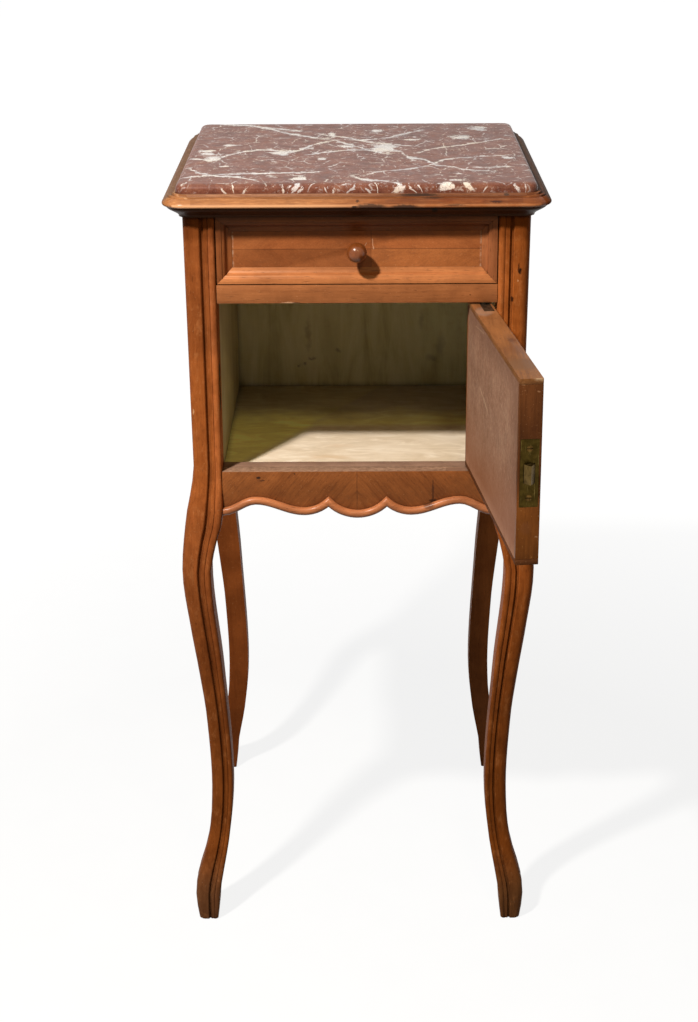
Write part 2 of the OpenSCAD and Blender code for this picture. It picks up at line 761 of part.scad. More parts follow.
module back_rail_upper() {
    color(beech)
        block([-post_x, post_y, frame_z - back_rail_h], [post_x, post_y + back_rail_t, frame_z]);
}
module back_rail_lower() {
    color(beech) block([-post_x, post_y, sill_z - cusp_drop],
                       [post_x, post_y + back_rail_t, floor_z]);
}

drawer_top_z = under_z - drawer_gap_z;
drawer_low_z = rail_top_z + drawer_gap_z;
drawer_h = drawer_top_z - drawer_low_z;
drawer_mid_z = (drawer_top_z + drawer_low_z) / 2;
drawer_side_z = rail_top_z + drawer_run;
drawer_side_h = drawer_top_z - drawer_side_drop - drawer_side_z;
module kicker(s) {
    x0 = s < 0 ? -post_x : post_x - kicker_w;
    low = drawer_side_z + drawer_side_h + drawer_gap_z;
    color(beech) block([x0, rail_back_y, low], [x0 + kicker_w, back_y, low + kicker_t]);
}
module kicker_left() { kicker(-1); }
module kicker_right() { kicker(1); }
module drawer_stops() {
    y0 = face_y + drawer_front_t + stop_gap;
    color(beech) for (s = [-1, 1]) translate([s * case_w / 6, 0, 0])
        block([-drawer_stop_w / 2, y0, rail_top_z],
              [drawer_stop_w / 2, y0 + drawer_stop_t, rail_top_z + drawer_stop_h]);
}

// ---- Moulded frames on the drawer and the door ----

ovolo_w = 3.6;
ovolo_h = 1.8;
quirk = 0.8;
mould_steps = 4;
cove_i = band_w + ovolo_w;
cove_d = band_step + ovolo_h + quirk;
// Section as [depth, distance in from the frame's outer edge], without the flat band.
mould_curve = concat(
    [for (i = [0:mould_steps]) let (a = 90 * i / mould_steps)
        [band_step + ovolo_h * (1 - cos(a)), band_w + ovolo_w * sin(a)]],
    [for (i = [0:mould_steps]) let (a = 90 * i / mould_steps)
        [cove_d + (mould_d - 0.3 - cove_d) * sin(a),
         cove_i + (mould_w - cove_i) * (1 - cos(a))]],
    [[mould_d, mould_w]]
);
drawer_section = concat([[mould_d, 0], [0, 0], [0, band_w]], mould_curve);
door_section = concat([[mould_d, lipping_w]],
                      [for (p = mould_curve) [p[0], p[1] - band_w + lipping_w]]);

// One mitred strip: its outer edge along z = 0, its face at y = 0, centred on x = 0.
module moulding_strip(length, section) {
    half = length / 2;
    intersection() {
        translate([-half, 0, 0]) bar_x(length) polygon(section);
        plate_y(-clear_cut, mould_d + clear_cut)
            polygon([[-half, 0], [half, 0], [half - 2 * mould_w, 2 * mould_w],
                     [2 * mould_w - half, 2 * mould_w]]);
    }
}
// Sides of a frame w by h round the origin: 0 bottom, 1 right, 2 top, 3 left.
module framed(side, w, h, section) {
    reach = side % 2 == 0 ? h / 2 : w / 2;
    rotate([0, -90 * side, 0]) translate([0, 0, -reach])
        moulding_strip(side % 2 == 0 ? w : h, section);
}

// ---- Knobs ----

neck_steps = 5;
module knob_shape() {
    ball_r = knob_d / 2;
    neck_r = knob_neck_d / 2;
    collar_r = knob_collar_d / 2;
    neck_top = knob_reach - ball_r * 0.86;
    // The collar, then a hollow curve in to the neck and out again under the ball.
    profile = concat(
        [[0, 0], [collar_r - 0.4, 0], [collar_r, 0.5], [collar_r, 1.3], [collar_r - 0.6, 1.8]],
        [for (i = [1:neck_steps]) let (a = 90 * i / neck_steps)
            [mix(collar_r - 1.4, neck_r, sin(a)), mix(1.8, neck_top * 0.6, 1 - cos(a))]],
        [[neck_r + 0.9, neck_top - 0.9], [neck_r + 0.9, neck_top], [neck_r, neck_top + 0.6],
         [neck_r, knob_reach], [0, knob_reach]]
    );
    rotate([90, 0, 0]) {
        translate([0, 0, knob_reach]) sphere(d = knob_d, $fn = 64);
        rotate_extrude($fn = 48) polygon(profile);
        translate([0, 0, -spigot_len]) cylinder(h = spigot_len + clear_cut, d = spigot_d, $fn = 48);
    }
}
// Hole for a knob's spigot, from the panel's face at y = 0.
module spigot_hole() {
    rotate([-90, 0, 0]) translate([0, 0, -clear_cut])
        cylinder(h = spigot_len + 0.5 + clear_cut, d = spigot_d + 0.2, $fn = 48);
}

// ---- Drawer ----

drawer_half_w = post_x - drawer_gap;
drawer_panel_y = face_y + mould_d;
drawer_back_face_y = face_y + drawer_front_t;
drawer_side_x = post_x - drawer_side_gap;
drawer_end_y = back_y - drawer_rear_gap;
bottom_z = drawer_side_z + drawer_bottom_up;

// The tapered tails of one side's front end: outline as [y, z].
module tail_outlines(play) {
    pitch = drawer_side_h / dovetails;
    for (k = [0:dovetails - 1]) {
        mid = drawer_side_z + pitch * (k + 0.5);
        narrow = pitch * 0.28 + play;
        wide = pitch * 0.38 + play;
        polygon([[drawer_back_face_y + clear_cut, mid - narrow],
                 [drawer_back_face_y + clear_cut, mid + narrow],
                 [drawer_back_face_y, mid + narrow], [drawer_back_face_y - dovetail_len, mid + wide],
                 [drawer_back_face_y - dovetail_len, mid - wide], [drawer_back_face_y, mid - narrow]]);
    }
}
module drawer_bottom_shape(play) {
    block([-drawer_side_x + drawer_side_t - drawer_groove, drawer_back_face_y - drawer_groove, bottom_z],
          [drawer_side_x - drawer_side_t + drawer_groove, drawer_end_y + play,
           bottom_z + drawer_bottom_t]);
}
module drawer_front() {
    color(walnut) difference() {
        block([-drawer_half_w, drawer_panel_y, drawer_low_z],
              [drawer_half_w, drawer_back_face_y, drawer_top_z]);
        for (s = [-1, 1]) plate_x(s < 0 ? -drawer_side_x : drawer_side_x - drawer_side_t,
                                  s < 0 ? -drawer_side_x + drawer_side_t : drawer_side_x)
            tail_outlines(0);
        drawer_bottom_shape(0);
        translate([0, drawer_panel_y, drawer_mid_z]) spigot_hole();
    }
}
module drawer_moulding(side) {
    color(light_walnut) translate([0, face_y, drawer_mid_z])
        framed(side, 2 * drawer_half_w, drawer_h, drawer_section);
}
module drawer_moulding_bottom() { drawer_moulding(0); }
module drawer_moulding_right() { drawer_moulding(1); }
module drawer_moulding_top() { drawer_moulding(2); }
module drawer_moulding_left() { drawer_moulding(3); }

module drawer_side(s) {
    x0 = s < 0 ? -drawer_side_x : drawer_side_x - drawer_side_t;
    color(beech) difference() {
        union() {
            block([x0, drawer_back_face_y, drawer_side_z],
                  [x0 + drawer_side_t, drawer_end_y, drawer_side_z + drawer_side_h]);
            plate_x(x0, x0 + drawer_side_t) tail_outlines(0);
        }
        drawer_bottom_shape(clear_cut);
    }
}
module drawer_side_left() { drawer_side(-1); }
module drawer_side_right() { drawer_side(1); }
module drawer_back() {
    in_x = drawer_side_x - drawer_side_t;
    color(beech) block([-in_x, drawer_end_y - drawer_back_t, bottom_z + drawer_bottom_t],
                       [in_x, drawer_end_y, drawer_side_z + drawer_side_h - 5]);
}
module drawer_bottom() { color(beech) drawer_bottom_shape(0); }
module drawer_knob() {
    color(walnut) translate([0, drawer_panel_y, drawer_mid_z]) knob_shape();
}

// ---- Door ----

door_half_w = post_x - door_gap;
door_low_z = sill_z + door_gap_low;
door_top_z = rail_z - door_gap_top;
door_h = door_top_z - door_low_z;
door_mid_z = (door_top_z + door_low_z) / 2;
door_back_y = face_y + door_t;
door_panel_y = face_y + mould_d;
door_mid_y = face_y + door_t / 2;
pivot_x = door_half_w - pivot_in;
pivot_y = face_y + pivot_back;

// Turns what is drawn shut to where the door stands.
module on_door() {
    translate([pivot_x, pivot_y, 0]) rotate([0, 0, door_open])
        translate([-pivot_x, -pivot_y, 0]) children();
}
// The shut door seen from above, with the corner that swings past the post rounded.
module door_outline() {
    difference() {
        translate([-door_half_w, face_y]) square([2 * door_half_w, door_t]);
        translate([door_half_w - swing_r, face_y - clear_cut])
            square([swing_r + clear_cut, swing_r + clear_cut]);
    }
    translate([door_half_w - swing_r, face_y + swing_r]) intersection() {
        circle(r = swing_r, $fn = 64);
        translate([0, -swing_r]) square(swing_r);
    }
}
module door_piece(low, high) {
    intersection() {
        translate([0, 0, low[2]]) linear_extrude(high[2] - low[2]) door_outline();
        block([low[0], face_y - clear_cut, low[2] - clear_cut],
              [high[0], door_back_y + clear_cut, high[2] + clear_cut]);
    }
}
// The latch's plate is centred on the door's edge, its box on the thinner panel.
lock_y = door_mid_y;
box_shift = mould_d / 2;
// Spaces of the latch, from the middle of its plate's face inwards.
module plate_space() {
    block([-clear_cut, -plate_w / 2, -plate_h / 2], [plate_t, plate_w / 2, plate_h / 2]);
}
module box_space(wall) {
    block([plate_t + wall, box_shift - lock_w / 2 + wall, wall - lock_h / 2],
          [plate_t + lock_d - wall, box_shift + lock_w / 2 - wall, lock_h / 2 - wall]);
}
module head_space() {
    w = bolt_w / 2 + bolt_play;
    h = bolt_h / 2 + bolt_play;
    block([-clear_cut, -w, -h], [head_in + bolt_out + 0.5, w, h]);
}
// Places what is drawn so in the shut door.
module at_latch() {
    translate([-door_half_w, lock_y, door_mid_z]) children();
}
module latch_cut() {
    at_latch() {
        plate_space();
        box_space(0);
        block([0, box_shift - lock_w / 2, -lock_h / 2],
              [plate_t + clear_cut, box_shift + lock_w / 2, lock_h / 2]);
        head_space();
        for (s = [-1, 1]) translate([0, 0, s * screw_pitch / 2]) rotate([0, 90, 0])
            cylinder(h = screw_len, d = shank_d, $fn = 32);
    }
}
module door_core() {
    color(dull_walnut) on_door() difference() {
        block([lipping_w - door_half_w, door_panel_y, door_low_z + lipping_w],
              [door_half_w - lipping_w, door_back_y, door_top_z - lipping_w]);
        latch_cut();
        translate([0, door_panel_y, door_mid_z]) spigot_hole();
    }
}
module door_lipping_top() {
    color(light_walnut) on_door() difference() {
        door_piece([-door_half_w, 0, door_top_z - lipping_w], [door_half_w, 0, door_top_z]);
        leaf_recess(door_top_z - leaf_t, door_top_z + clear_cut);
    }
}
module door_lipping_bottom() {
    color(walnut) on_door() difference() {
        door_piece([-door_half_w, 0, door_low_z], [door_half_w, 0, door_low_z + lipping_w]);
        leaf_recess(door_low_z - clear_cut, door_low_z + leaf_t);
    }
}
module door_lipping_free() {
    color(walnut) on_door() difference() {
        door_piece([-door_half_w, 0, door_low_z + lipping_w],
                   [lipping_w - door_half_w, 0, door_top_z - lipping_w]);
        latch_cut();
    }
}
module door_lipping_hinge() {
    color(walnut) on_door()
        door_piece([door_half_w - lipping_w, 0, door_low_z + lipping_w],
                   [door_half_w, 0, door_top_z - lipping_w]);
}
module door_mouldings() {
    color(light_walnut) on_door() difference() {
        translate([0, face_y, door_mid_z])
            for (side = [0:3]) framed(side, 2 * door_half_w, door_h, door_section);
        at_latch() head_space();
    }
}
module door_knob() {
    color(walnut) on_door() translate([0, door_panel_y, door_mid_z]) knob_shape();
}
module door_stop() {
    stop_y = door_back_y + stop_gap;
    color(beech) block([-post_x, stop_y, rail_z - 5], [stop_len - post_x, stop_y + stop_w, rail_z]);
}

// ---- Pivot hinges: a leaf with a pin on the door, a plate with a hole on the case ----

leaf_x0 = door_half_w - leaf_len;
leaf_x1 = door_half_w - swing_r;
// The space of a door leaf.
module leaf_recess(z0, z1) {
    block([leaf_x0, pivot_y - leaf_w / 2, z0], [leaf_x1, pivot_y + leaf_w / 2, z1]);
}
// The space of a plate on the case.
module pivot_recess(z0, z1) {
    block([leaf_x0, pivot_y - leaf_w / 2, z0], [post_x, pivot_y + leaf_w / 2, z1]);
}
module hinge_leaf_upper() {
    color(old_brass) on_door() {
        leaf_recess(door_top_z - leaf_t, door_top_z);
        translate([pivot_x, pivot_y, door_top_z - leaf_t])
            cylinder(h = leaf_t + door_gap_top - 0.3, d = collar_d, $fn = 48);
        translate([pivot_x, pivot_y, door_top_z - leaf_t])
            cylinder(h = 2 * leaf_t + door_gap_top + pin_reach, d = pin_d, $fn = 48);
    }
}
module hinge_leaf_lower() {
    color(old_brass) on_door() {
        leaf_recess(door_low_z, door_low_z + leaf_t);
        translate([pivot_x, pivot_y, sill_z])
            cylinder(h = door_gap_low + leaf_t, d = collar_d, $fn = 48);
        translate([pivot_x, pivot_y, sill_z - leaf_t - pin_reach])
            cylinder(h = pin_reach + 2 * leaf_t + door_gap_low, d = pin_d, $fn = 48);
    }
}
module pivot_plate(z0) {
    color(old_brass) difference() {
        pivot_recess(z0, z0 + leaf_t);
        translate([pivot_x, pivot_y, z0 - clear_cut])
            cylinder(h = leaf_t + 2 * clear_cut, r = pin_d / 2 + pin_play, $fn = 48);
    }
}
module pivot_plate_upper() { pivot_plate(rail_z); }
module pivot_plate_lower() { pivot_plate(sill_z - leaf_t); }

// ---- Spring latch in the door's free edge, and its strike on the post ----

shank_d = 3;
screw_len = 12;
module screw_heads(pitch, sink) {
    for (s = [-1, 1]) translate([0, 0, s * pitch / 2]) rotate([0, 90, 0]) difference() {
        union() {
            cylinder(h = sink, d1 = screw_d, d2 = shank_d, $fn = 48);
            translate([0, 0, sink - 0.01]) cylinder(h = screw_len - sink, d = shank_d, $fn = 32);
        }
        block([-0.5, -screw_d, -clear_cut], [0.5, screw_d, sink * 0.4]);
    }
}
// Holes with countersinks for those screws in a plate of thickness t at x = 0.
module screw_seats(pitch, t) {
    for (s = [-1, 1]) translate([0, 0, s * pitch / 2]) rotate([0, 90, 0]) {
        cylinder(h = t, d1 = screw_d, d2 = shank_d, $fn = 48);
        translate([0, 0, -clear_cut]) cylinder(h = clear_cut, d = screw_d, $fn = 48);
        translate([0, 0, t - 0.01]) cylinder(h = clear_cut, d = shank_d, $fn = 32);
    }
}
module latch_case() {
    color(old_brass) on_door() at_latch() difference() {
        union() {
            block([0, -plate_w / 2, -plate_h / 2], [plate_t, plate_w / 2, plate_h / 2]);
            box_space(0);
        }
        head_space();
        box_space(lock_wall);
        screw_seats(screw_pitch, plate_t);
    }
}
module latch_screws() {
    color(old_brass) on_door() at_latch() screw_heads(screw_pitch, plate_t);
}
// Half thickness of the bolt's tail, which slides between the box's walls.
tail_w = lock_w / 2 - lock_wall - bolt_play;
// A head with a hollow nose bevelled on both sides, and a lower, thinner tail.
module latch_bolt() {
    half = bolt_w / 2;
    slant = bolt_wall * norm([half, bolt_out]) / half;
    color(old_brass) on_door() at_latch() {
        translate([0, 0, -bolt_h / 2]) linear_extrude(bolt_h) difference() {
            polygon([[head_in, -half], [-0.6, -half], [-bolt_out, -0.4], [-bolt_out, 0.4],
                     [-0.6, half], [head_in, half]]);
            polygon([[0.4, bolt_wall - half], [slant - bolt_out, 0], [0.4, half - bolt_wall]]);
        }
        block([head_in - 0.1, box_shift - tail_w, -bolt_h * 0.38],
              [bolt_in, min(half, box_shift + tail_w), bolt_h * 0.38]);
    }
}
// Leaf spring folded behind the bolt, seen from above.
module latch_spring() {
    x0 = bolt_in + 0.1;
    x1 = plate_t + lock_d - lock_wall;
    w = lock_w / 2 - lock_wall - 0.2;
    t = spring_t;
    color(grey_steel) on_door() at_latch() translate([0, box_shift, -spring_h / 2])
        linear_extrude(spring_h) polygon([
            [x0, w], [x0, w - 2.4], [x0 + t, w - 2.4], [x0 + t, w - 2 * t],
            [x1 - 2 * t, -w], [x1, -w], [x1, 0], [x1 - t, 0],
            [x1 - t, t - w], [x0 + 1.5 * t, w]]);
}
bolt_pocket = bolt_out + 1.5;
// Recess in the front left post for the strike plate, with the bolt's pocket.
module strike_recess() {
    translate([-post_x, lock_y, door_mid_z]) {
        block([-strike_t, -strike_w / 2, -strike_h / 2],
              [clear_cut, strike_w / 2, strike_h / 2]);
        strike_window(-bolt_pocket);
        for (s = [-1, 1]) translate([-screw_len, 0, s * strike_pitch / 2]) rotate([0, 90, 0])
            cylinder(h = screw_len, d = shank_d, $fn = 32);
    }
}
module strike_window(x0) {
    block([x0, -bolt_w / 2 - 0.8, -bolt_h / 2 - 1], [clear_cut, bolt_w / 2 + 0.8, bolt_h / 2 + 1]);
}
module strike_plate() {
    color(old_brass) translate([-post_x, lock_y, door_mid_z]) difference() {
        block([-strike_t, -strike_w / 2, -strike_h / 2], [0, strike_w / 2, strike_h / 2]);
        strike_window(-strike_t - clear_cut);
        mirror([1, 0, 0]) screw_seats(strike_pitch, strike_t);
    }
}
module strike_screws() {
    color(old_brass) translate([-post_x, lock_y, door_mid_z])
        mirror([1, 0, 0]) screw_heads(strike_pitch, strike_t);
}

marble_top();
top_frame_front();
top_frame_right();
top_frame_back();
top_frame_left();
under_moulding_front();
under_moulding_left();
under_moulding_right();
leg_front_left();
leg_front_right();
leg_rear_left();
leg_rear_right();
side_panel_left();
side_panel_right();
lining_left();
lining_right();
back_panel();
top_rail();
drawer_rail();
front_apron();
apron_bead();
sill_strip();
back_rail_upper();
back_rail_lower();
floor_board();
floor_bearer_left();
floor_bearer_right();
dust_board();
kicker_left();
kicker_right();
drawer_stops();
door_stop();
strike_plate();
strike_screws();
pivot_plate_upper();
pivot_plate_lower();
drawer_front();
drawer_moulding_bottom();
drawer_moulding_right();
drawer_moulding_top();
drawer_moulding_left();
drawer_side_left();
drawer_side_right();
drawer_back();
drawer_bottom();
drawer_knob();
door_core();
door_lipping_top();
door_lipping_bottom();
door_lipping_free();
door_lipping_hinge();
door_mouldings();
door_knob();
hinge_leaf_upper();
hinge_leaf_lower();
latch_case();
latch_screws();
latch_spring();
latch_bolt();
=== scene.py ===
"""A walnut bedside cupboard with a red marble top, dressed and lit for a studio picture.

The scene is in metres: +Z is up, the front faces -Y and the origin is on the floor under the
case. Places and sizes inside the materials are in millimetres, on the piece at rest.
"""
import json
import math

import bpy
from mathutils import Matrix, Vector


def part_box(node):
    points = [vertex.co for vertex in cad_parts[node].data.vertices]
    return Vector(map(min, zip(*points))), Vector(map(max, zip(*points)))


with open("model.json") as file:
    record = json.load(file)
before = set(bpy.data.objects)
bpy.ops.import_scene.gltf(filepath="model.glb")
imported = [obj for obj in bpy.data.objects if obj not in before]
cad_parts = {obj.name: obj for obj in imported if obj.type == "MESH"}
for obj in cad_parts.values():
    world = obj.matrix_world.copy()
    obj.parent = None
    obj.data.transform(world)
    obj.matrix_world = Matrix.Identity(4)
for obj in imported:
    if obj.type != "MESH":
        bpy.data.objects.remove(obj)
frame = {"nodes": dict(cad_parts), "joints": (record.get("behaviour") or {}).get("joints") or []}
NODES = frame["nodes"]
SCENE = bpy.context.scene
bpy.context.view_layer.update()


# ---- Places, in millimetres ----

def box_mm(node):
    low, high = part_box(node)
    return low * 1000, high * 1000


panel_low, panel_high = box_mm("drawer_front")
apron_low, apron_high = box_mm("front_apron")
marble_low, marble_high = box_mm("marble_top")
door_low, door_high = box_mm("door_core")
nose_low, nose_high = box_mm("top_frame_front")
inner_back = box_mm("back_panel")[0].y
panel_mid_z = (panel_low.z + panel_high.z) / 2

# Degrees by which the door stands open past square to the front.
door_hinge = next(joint for joint in frame["joints"] if joint["name"] == "door_hinge")
door_past_square = -door_hinge["range_deg"][0] - 90

TOP_CORNER = 24.0  # radius of the top frame's corners
BEAD_EDGE = 152  # the front posts' inner beads lie at a smaller |x|
PANEL_END = 127  # the drawer's veneered panel ends near this |x|
DRAWER_SEAM = 14.6  # x where the drawer's veneers meet
APRON_SEAM = -0.7  # x where the apron's veneers meet

# Where the marks on a face have their centres: on it, or within 4 mm of it.
POST_Y = -183
RAIL_Y = -184
BACK_Y = 144
FLOOR_Z = 540
LIP_TOP_Z = 727
LIP_FREE_Y = -448


# ---- Short calls for shader nodes ----

def colour(r, g, b):
    """A colour written as it looks on screen, 0 to 255, as the linear values that Blender takes."""
    def linear(c):
        c /= 255
        return c / 12.92 if c <= 0.04045 else ((c + 0.055) / 1.055) ** 2.4
    return (linear(r), linear(g), linear(b), 1)


def scaled(shade, factors):
    """A linear colour with its red, green and blue multiplied."""
    return tuple(c * f for c, f in zip(shade, factors)) + (1,)


class Net:
    """The shader nodes of a material or world. Most calls add nodes and return their output, so
    that calls can be nested."""

    def __init__(self, owner):
        self.owner = owner
        owner.use_nodes = True
        self.tree = owner.node_tree
        self.tree.nodes.clear()

    def node(self, kind, inputs=(), **settings):
        """The node itself, with its settings made before its inputs are set or linked."""
        made = self.tree.nodes.new(kind)
        for key, value in settings.items():
            setattr(made, key, value)
        for key, value in dict(inputs).items():
            self.put(made.inputs[key], value)
        return made

    def put(self, socket, value):
        if isinstance(value, bpy.types.NodeSocket):
            self.tree.links.new(value, socket)
        else:
            socket.default_value = value

    def math(self, operation, a, b=0.0, c=0.0, clamp=False):
        made = self.node("ShaderNodeMath", {0: a, 1: b, 2: c}, operation=operation)
        made.use_clamp = clamp
        return made.outputs[0]

    def plus(self, a, b, clamp=False):
        return self.math("ADD", a, b, clamp=clamp)

    def minus(self, a, b):
        return self.math("SUBTRACT", a, b)

    def times(self, a, b):
        return self.math("MULTIPLY", a, b)

    def unsigned(self, a):
        return self.math("ABSOLUTE", a)

    def largest(self, first, *others):
        for other in others:
            first = self.math("MAXIMUM", first, other)
        return first

    def mixture(self, a, b, share):
        """Two values in one, with the given share from b."""
        return self.plus(self.times(a, 1 - share), self.times(b, share))

    def fit(self, value, low, high, to_low=0.0, to_high=1.0, smooth=False):
        """value, with low to high stretched to to_low to to_high and clamped outside."""
        kind = "SMOOTHSTEP" if smooth else "LINEAR"
        return self.node("ShaderNodeMapRange", {0: value, 1: low, 2: high, 3: to_low, 4: to_high},
                         interpolation_type=kind).outputs[0]

    def blend(self, fac, a, b, mode="MIX"):
        made = self.node("ShaderNodeMix", data_type="RGBA", blend_type=mode)
        self.put(made.inputs[0], fac)
        self.put(made.inputs[6], a)
        self.put(made.inputs[7], b)
        return made.outputs[2]

    def tint(self, fac, base, red, green, blue):
        """base with its red, green and blue multiplied where fac is 1."""
        return self.blend(fac, base, (red, green, blue, 1), "MULTIPLY")

    def ramp(self, value, stops):
        made = self.node("ShaderNodeValToRGB", {0: value})
        points = made.color_ramp.elements
        while len(points) < len(stops):
            points.new(0.5)
        for point, (place, shade) in zip(points, stops):
            point.position = place
            point.color = shade
        return made.outputs[0]

    def vector_math(self, operation, a, b=(0, 0, 0)):
        """The node's outputs: a vector first, and a number by the name of Value."""
        return self.node("ShaderNodeVectorMath", {0: a, 1: b}, operation=operation).outputs

    def place(self):
        """Position on the piece at rest, in millimetres."""
        local = self.node("ShaderNodeTexCoord").outputs["Object"]
        return self.vector_math("MULTIPLY", local, (1000, 1000, 1000))[0]

    def mapped(self, vector, scale=(1, 1, 1), turn=(0, 0, 0), move=(0, 0, 0)):
        return self.node("ShaderNodeMapping", {"Vector": vector, "Scale": scale, "Rotation": turn,
                                               "Location": move}).outputs[0]

    def noise(self, vector, scale, detail=2.0, rough=0.5, twist=0.0):
        """Noise from 0 to 1. A scale of three numbers draws it out along the axes."""
        if isinstance(scale, tuple):
            vector, scale = self.mapped(vector, scale), 1
        return self.node("ShaderNodeTexNoise", {"Vector": vector, "Scale": scale, "Detail": detail,
                                                "Roughness": rough, "Distortion": twist}).outputs[0]

    def shaken(self, vector, scale, reach, detail=4.0, rough=0.6):
        """The place moved about by noise, for ragged outlines."""
        wild = self.node("ShaderNodeTexNoise", {"Vector": vector, "Scale": scale, "Detail": detail,
                                                "Roughness": rough}).outputs[1]
        moved = self.mapped(wild, (reach,) * 3, move=(-reach / 2,) * 3)
        return self.vector_math("ADD", vector, moved)[0]

    def split(self, vector):
        return self.node("ShaderNodeSeparateXYZ", {0: vector}).outputs

    def join(self, x, y, z):
        return self.node("ShaderNodeCombineXYZ", {0: x, 1: y, 2: z}).outputs[0]

    def length(self, vector):
        return self.vector_math("LENGTH", vector)["Value"]

    def reach(self, vector, centre, size):
        """Distance from an ellipsoid's centre: 1 on its surface. size is its half sizes."""
        return self.length(self.mapped(vector, tuple(1 / s for s in size),
                                       move=tuple(-c / s for c, s in zip(centre, size))))

    def spot(self, vector, centre, size, soft):
        """1 inside an ellipsoid and 0 outside, with an edge that is soft by a share of its size."""
        return self.fit(self.reach(vector, centre, size), 1 - soft, 1 + soft, 1, 0, smooth=True)

    def stroke(self, vector, start, end, width):
        """1 along the line between two points, 0 away from it."""
        run = tuple(b - a for a, b in zip(start, end))
        off = self.vector_math("SUBTRACT", vector, start)[0]
        along = self.vector_math("DOT_PRODUCT", off, run)["Value"]
        part = self.math("MULTIPLY", along, 1 / sum(c * c for c in run), clamp=True)
        foot = self.node("ShaderNodeVectorMath", {0: run, "Scale": part}, operation="SCALE").outputs[0]
        gap = self.vector_math("DISTANCE", off, foot)["Value"]
        return self.fit(gap, 0.4 * width, 1.3 * width, 1, 0, smooth=True)

    def output(self, kind, shader):
        """Joins the finished shader to the output. Returns the material or world."""
        self.tree.links.new(shader, self.node(kind).inputs["Surface"])
        return self.owner

    def finish(self, base, rough, relief, height, **uniform):
        """A Principled material with relief of so many mm. Uniform values go on its own sockets."""
        shader = self.node("ShaderNodeBsdfPrincipled", {"Base Color": base, "Roughness": rough})
        for key, value in uniform.items():
            shader.inputs[key.replace("_", " ")].default_value = value
        bump = self.node("ShaderNodeBump", {"Height": relief, "Distance": height / 1000,
                                            "Strength": 1.0})
        self.put(shader.inputs["Normal"], bump.outputs[0])
        return self.output("ShaderNodeOutputMaterial", shader.outputs[0])


def material_net(name):
    return Net(bpy.data.materials.new(name))


# ---- Wood ----

GRAIN_TURN = {"x": (0, math.pi / 2, 0), "y": (-math.pi / 2, 0, 0), "z": (0, 0, 0)}


def grain(net, vector, along, shift):
    """Walnut's figure, fibres and pores: each an output from 0 to 1, drawn out along one axis."""
    lined = net.mapped(vector, turn=GRAIN_TURN[along], move=(shift, 1.7 * shift, 2.3 * shift))
    broad = net.noise(lined, (1 / 26, 1 / 26, 1 / 320), 3, 0.55, 0.7)
    fibre = net.noise(lined, (1 / 2.6, 1 / 2.6, 1 / 60), 5, 0.62, 0.15)
    pores = net.noise(lined, (1 / 0.75, 1 / 0.75, 1 / 9))
    return broad, fibre, net.fit(pores, 0.60, 0.72, smooth=True)


def add_grime_and_shade(net, base, tone, reach, depth):
    """base gone to tone within reach of a neighbouring surface, found by ambient occlusion: partly
    grime gathered in grooves, partly painted shade in hollows, corners and between parts. Also the
    mask of it: 1 on open faces, and lower by up to depth within reach of a neighbour."""
    hidden = net.node("ShaderNodeAmbientOcclusion", {"Distance": reach / 1000}, samples=8)
    unoccluded = net.fit(hidden.outputs["AO"], 0.25, 0.9, 1 - depth, 1, smooth=True)
    return net.blend(net.minus(1.0, unoccluded), base, colour(*tone)), unoccluded


def marked(net, where, base, marks, scale, reach, soft):
    """base with ragged marks on it, given as (centre, half sizes, colour, how much)."""
    ragged = net.shaken(where, scale, reach, detail=3.0, rough=0.5)
    for centre, size, shade, much in marks:
        mask = net.times(net.spot(ragged, centre, size, soft), much)
        base = net.blend(mask, base, colour(*shade))
    return base


def walnut(name, tone, along="z", shift=0.0, fold=None, contrast=1.0, rough=0.42,
           coat=0.0, gloss=0.2, grime_and_shade=0.7, marks=(), extra=None):
    """Polished walnut. tone is its middle colour, shift picks a place in the grain, fold bends the
    grain, and extra adds a piece's own wear and painted light to the colour."""
    net = material_net(name)
    where = net.place()
    broad, fibre, pores = grain(net, fold(net, where) if fold else where, along, shift)
    mid = colour(*tone)
    spread = 0.34 * contrast
    dark = scaled(mid, [(1 - spread) ** power for power in (1.1, 1.4, 1.6)])
    light = scaled(mid, [(1 + spread) ** power for power in (1.0, 1.05, 1.1)])
    base = net.ramp(net.mixture(broad, fibre, 0.45), [(0.30, dark), (0.5, mid), (0.70, light)])
    patina = net.fit(net.noise(where, 1 / 38, 4, 0.6), 0.35, 0.65, 0.32, 0.0)
    base = net.blend(patina, base, colour(86, 40, 20), "MULTIPLY")
    base = net.blend(net.times(pores, 0.5 * contrast), base, colour(66, 32, 16))
    speck = net.fit(net.noise(where, 1 / 1.6, 2, 0.6), 0.66, 0.74, 0.0, 0.22, smooth=True)
    base = net.blend(speck, base, colour(226, 170, 120))
    if extra:
        base = extra(net, where, base)
    base = marked(net, where, base, marks, 0.35, 3, 0.35)
    # Darker near neighbouring surfaces: grime in grooves and painted shade in hollows.
    base, unoccluded = add_grime_and_shade(net, base, (30, 14, 7), 5.0, grime_and_shade)
    shine = net.plus(net.times(fibre, 0.22), rough - 0.11)
    shine = net.plus(shine, net.fit(unoccluded, 0.3, 1, 0.2, 0), clamp=True)
    relief = net.minus(net.times(fibre, 0.5), net.times(pores, 0.5))
    return net.finish(base, shine, relief, 0.12, Coat_Weight=coat, Coat_Roughness=0.22,
                      Specular_IOR_Level=gloss, Specular_Tint=(1.0, 0.8, 0.6, 1))


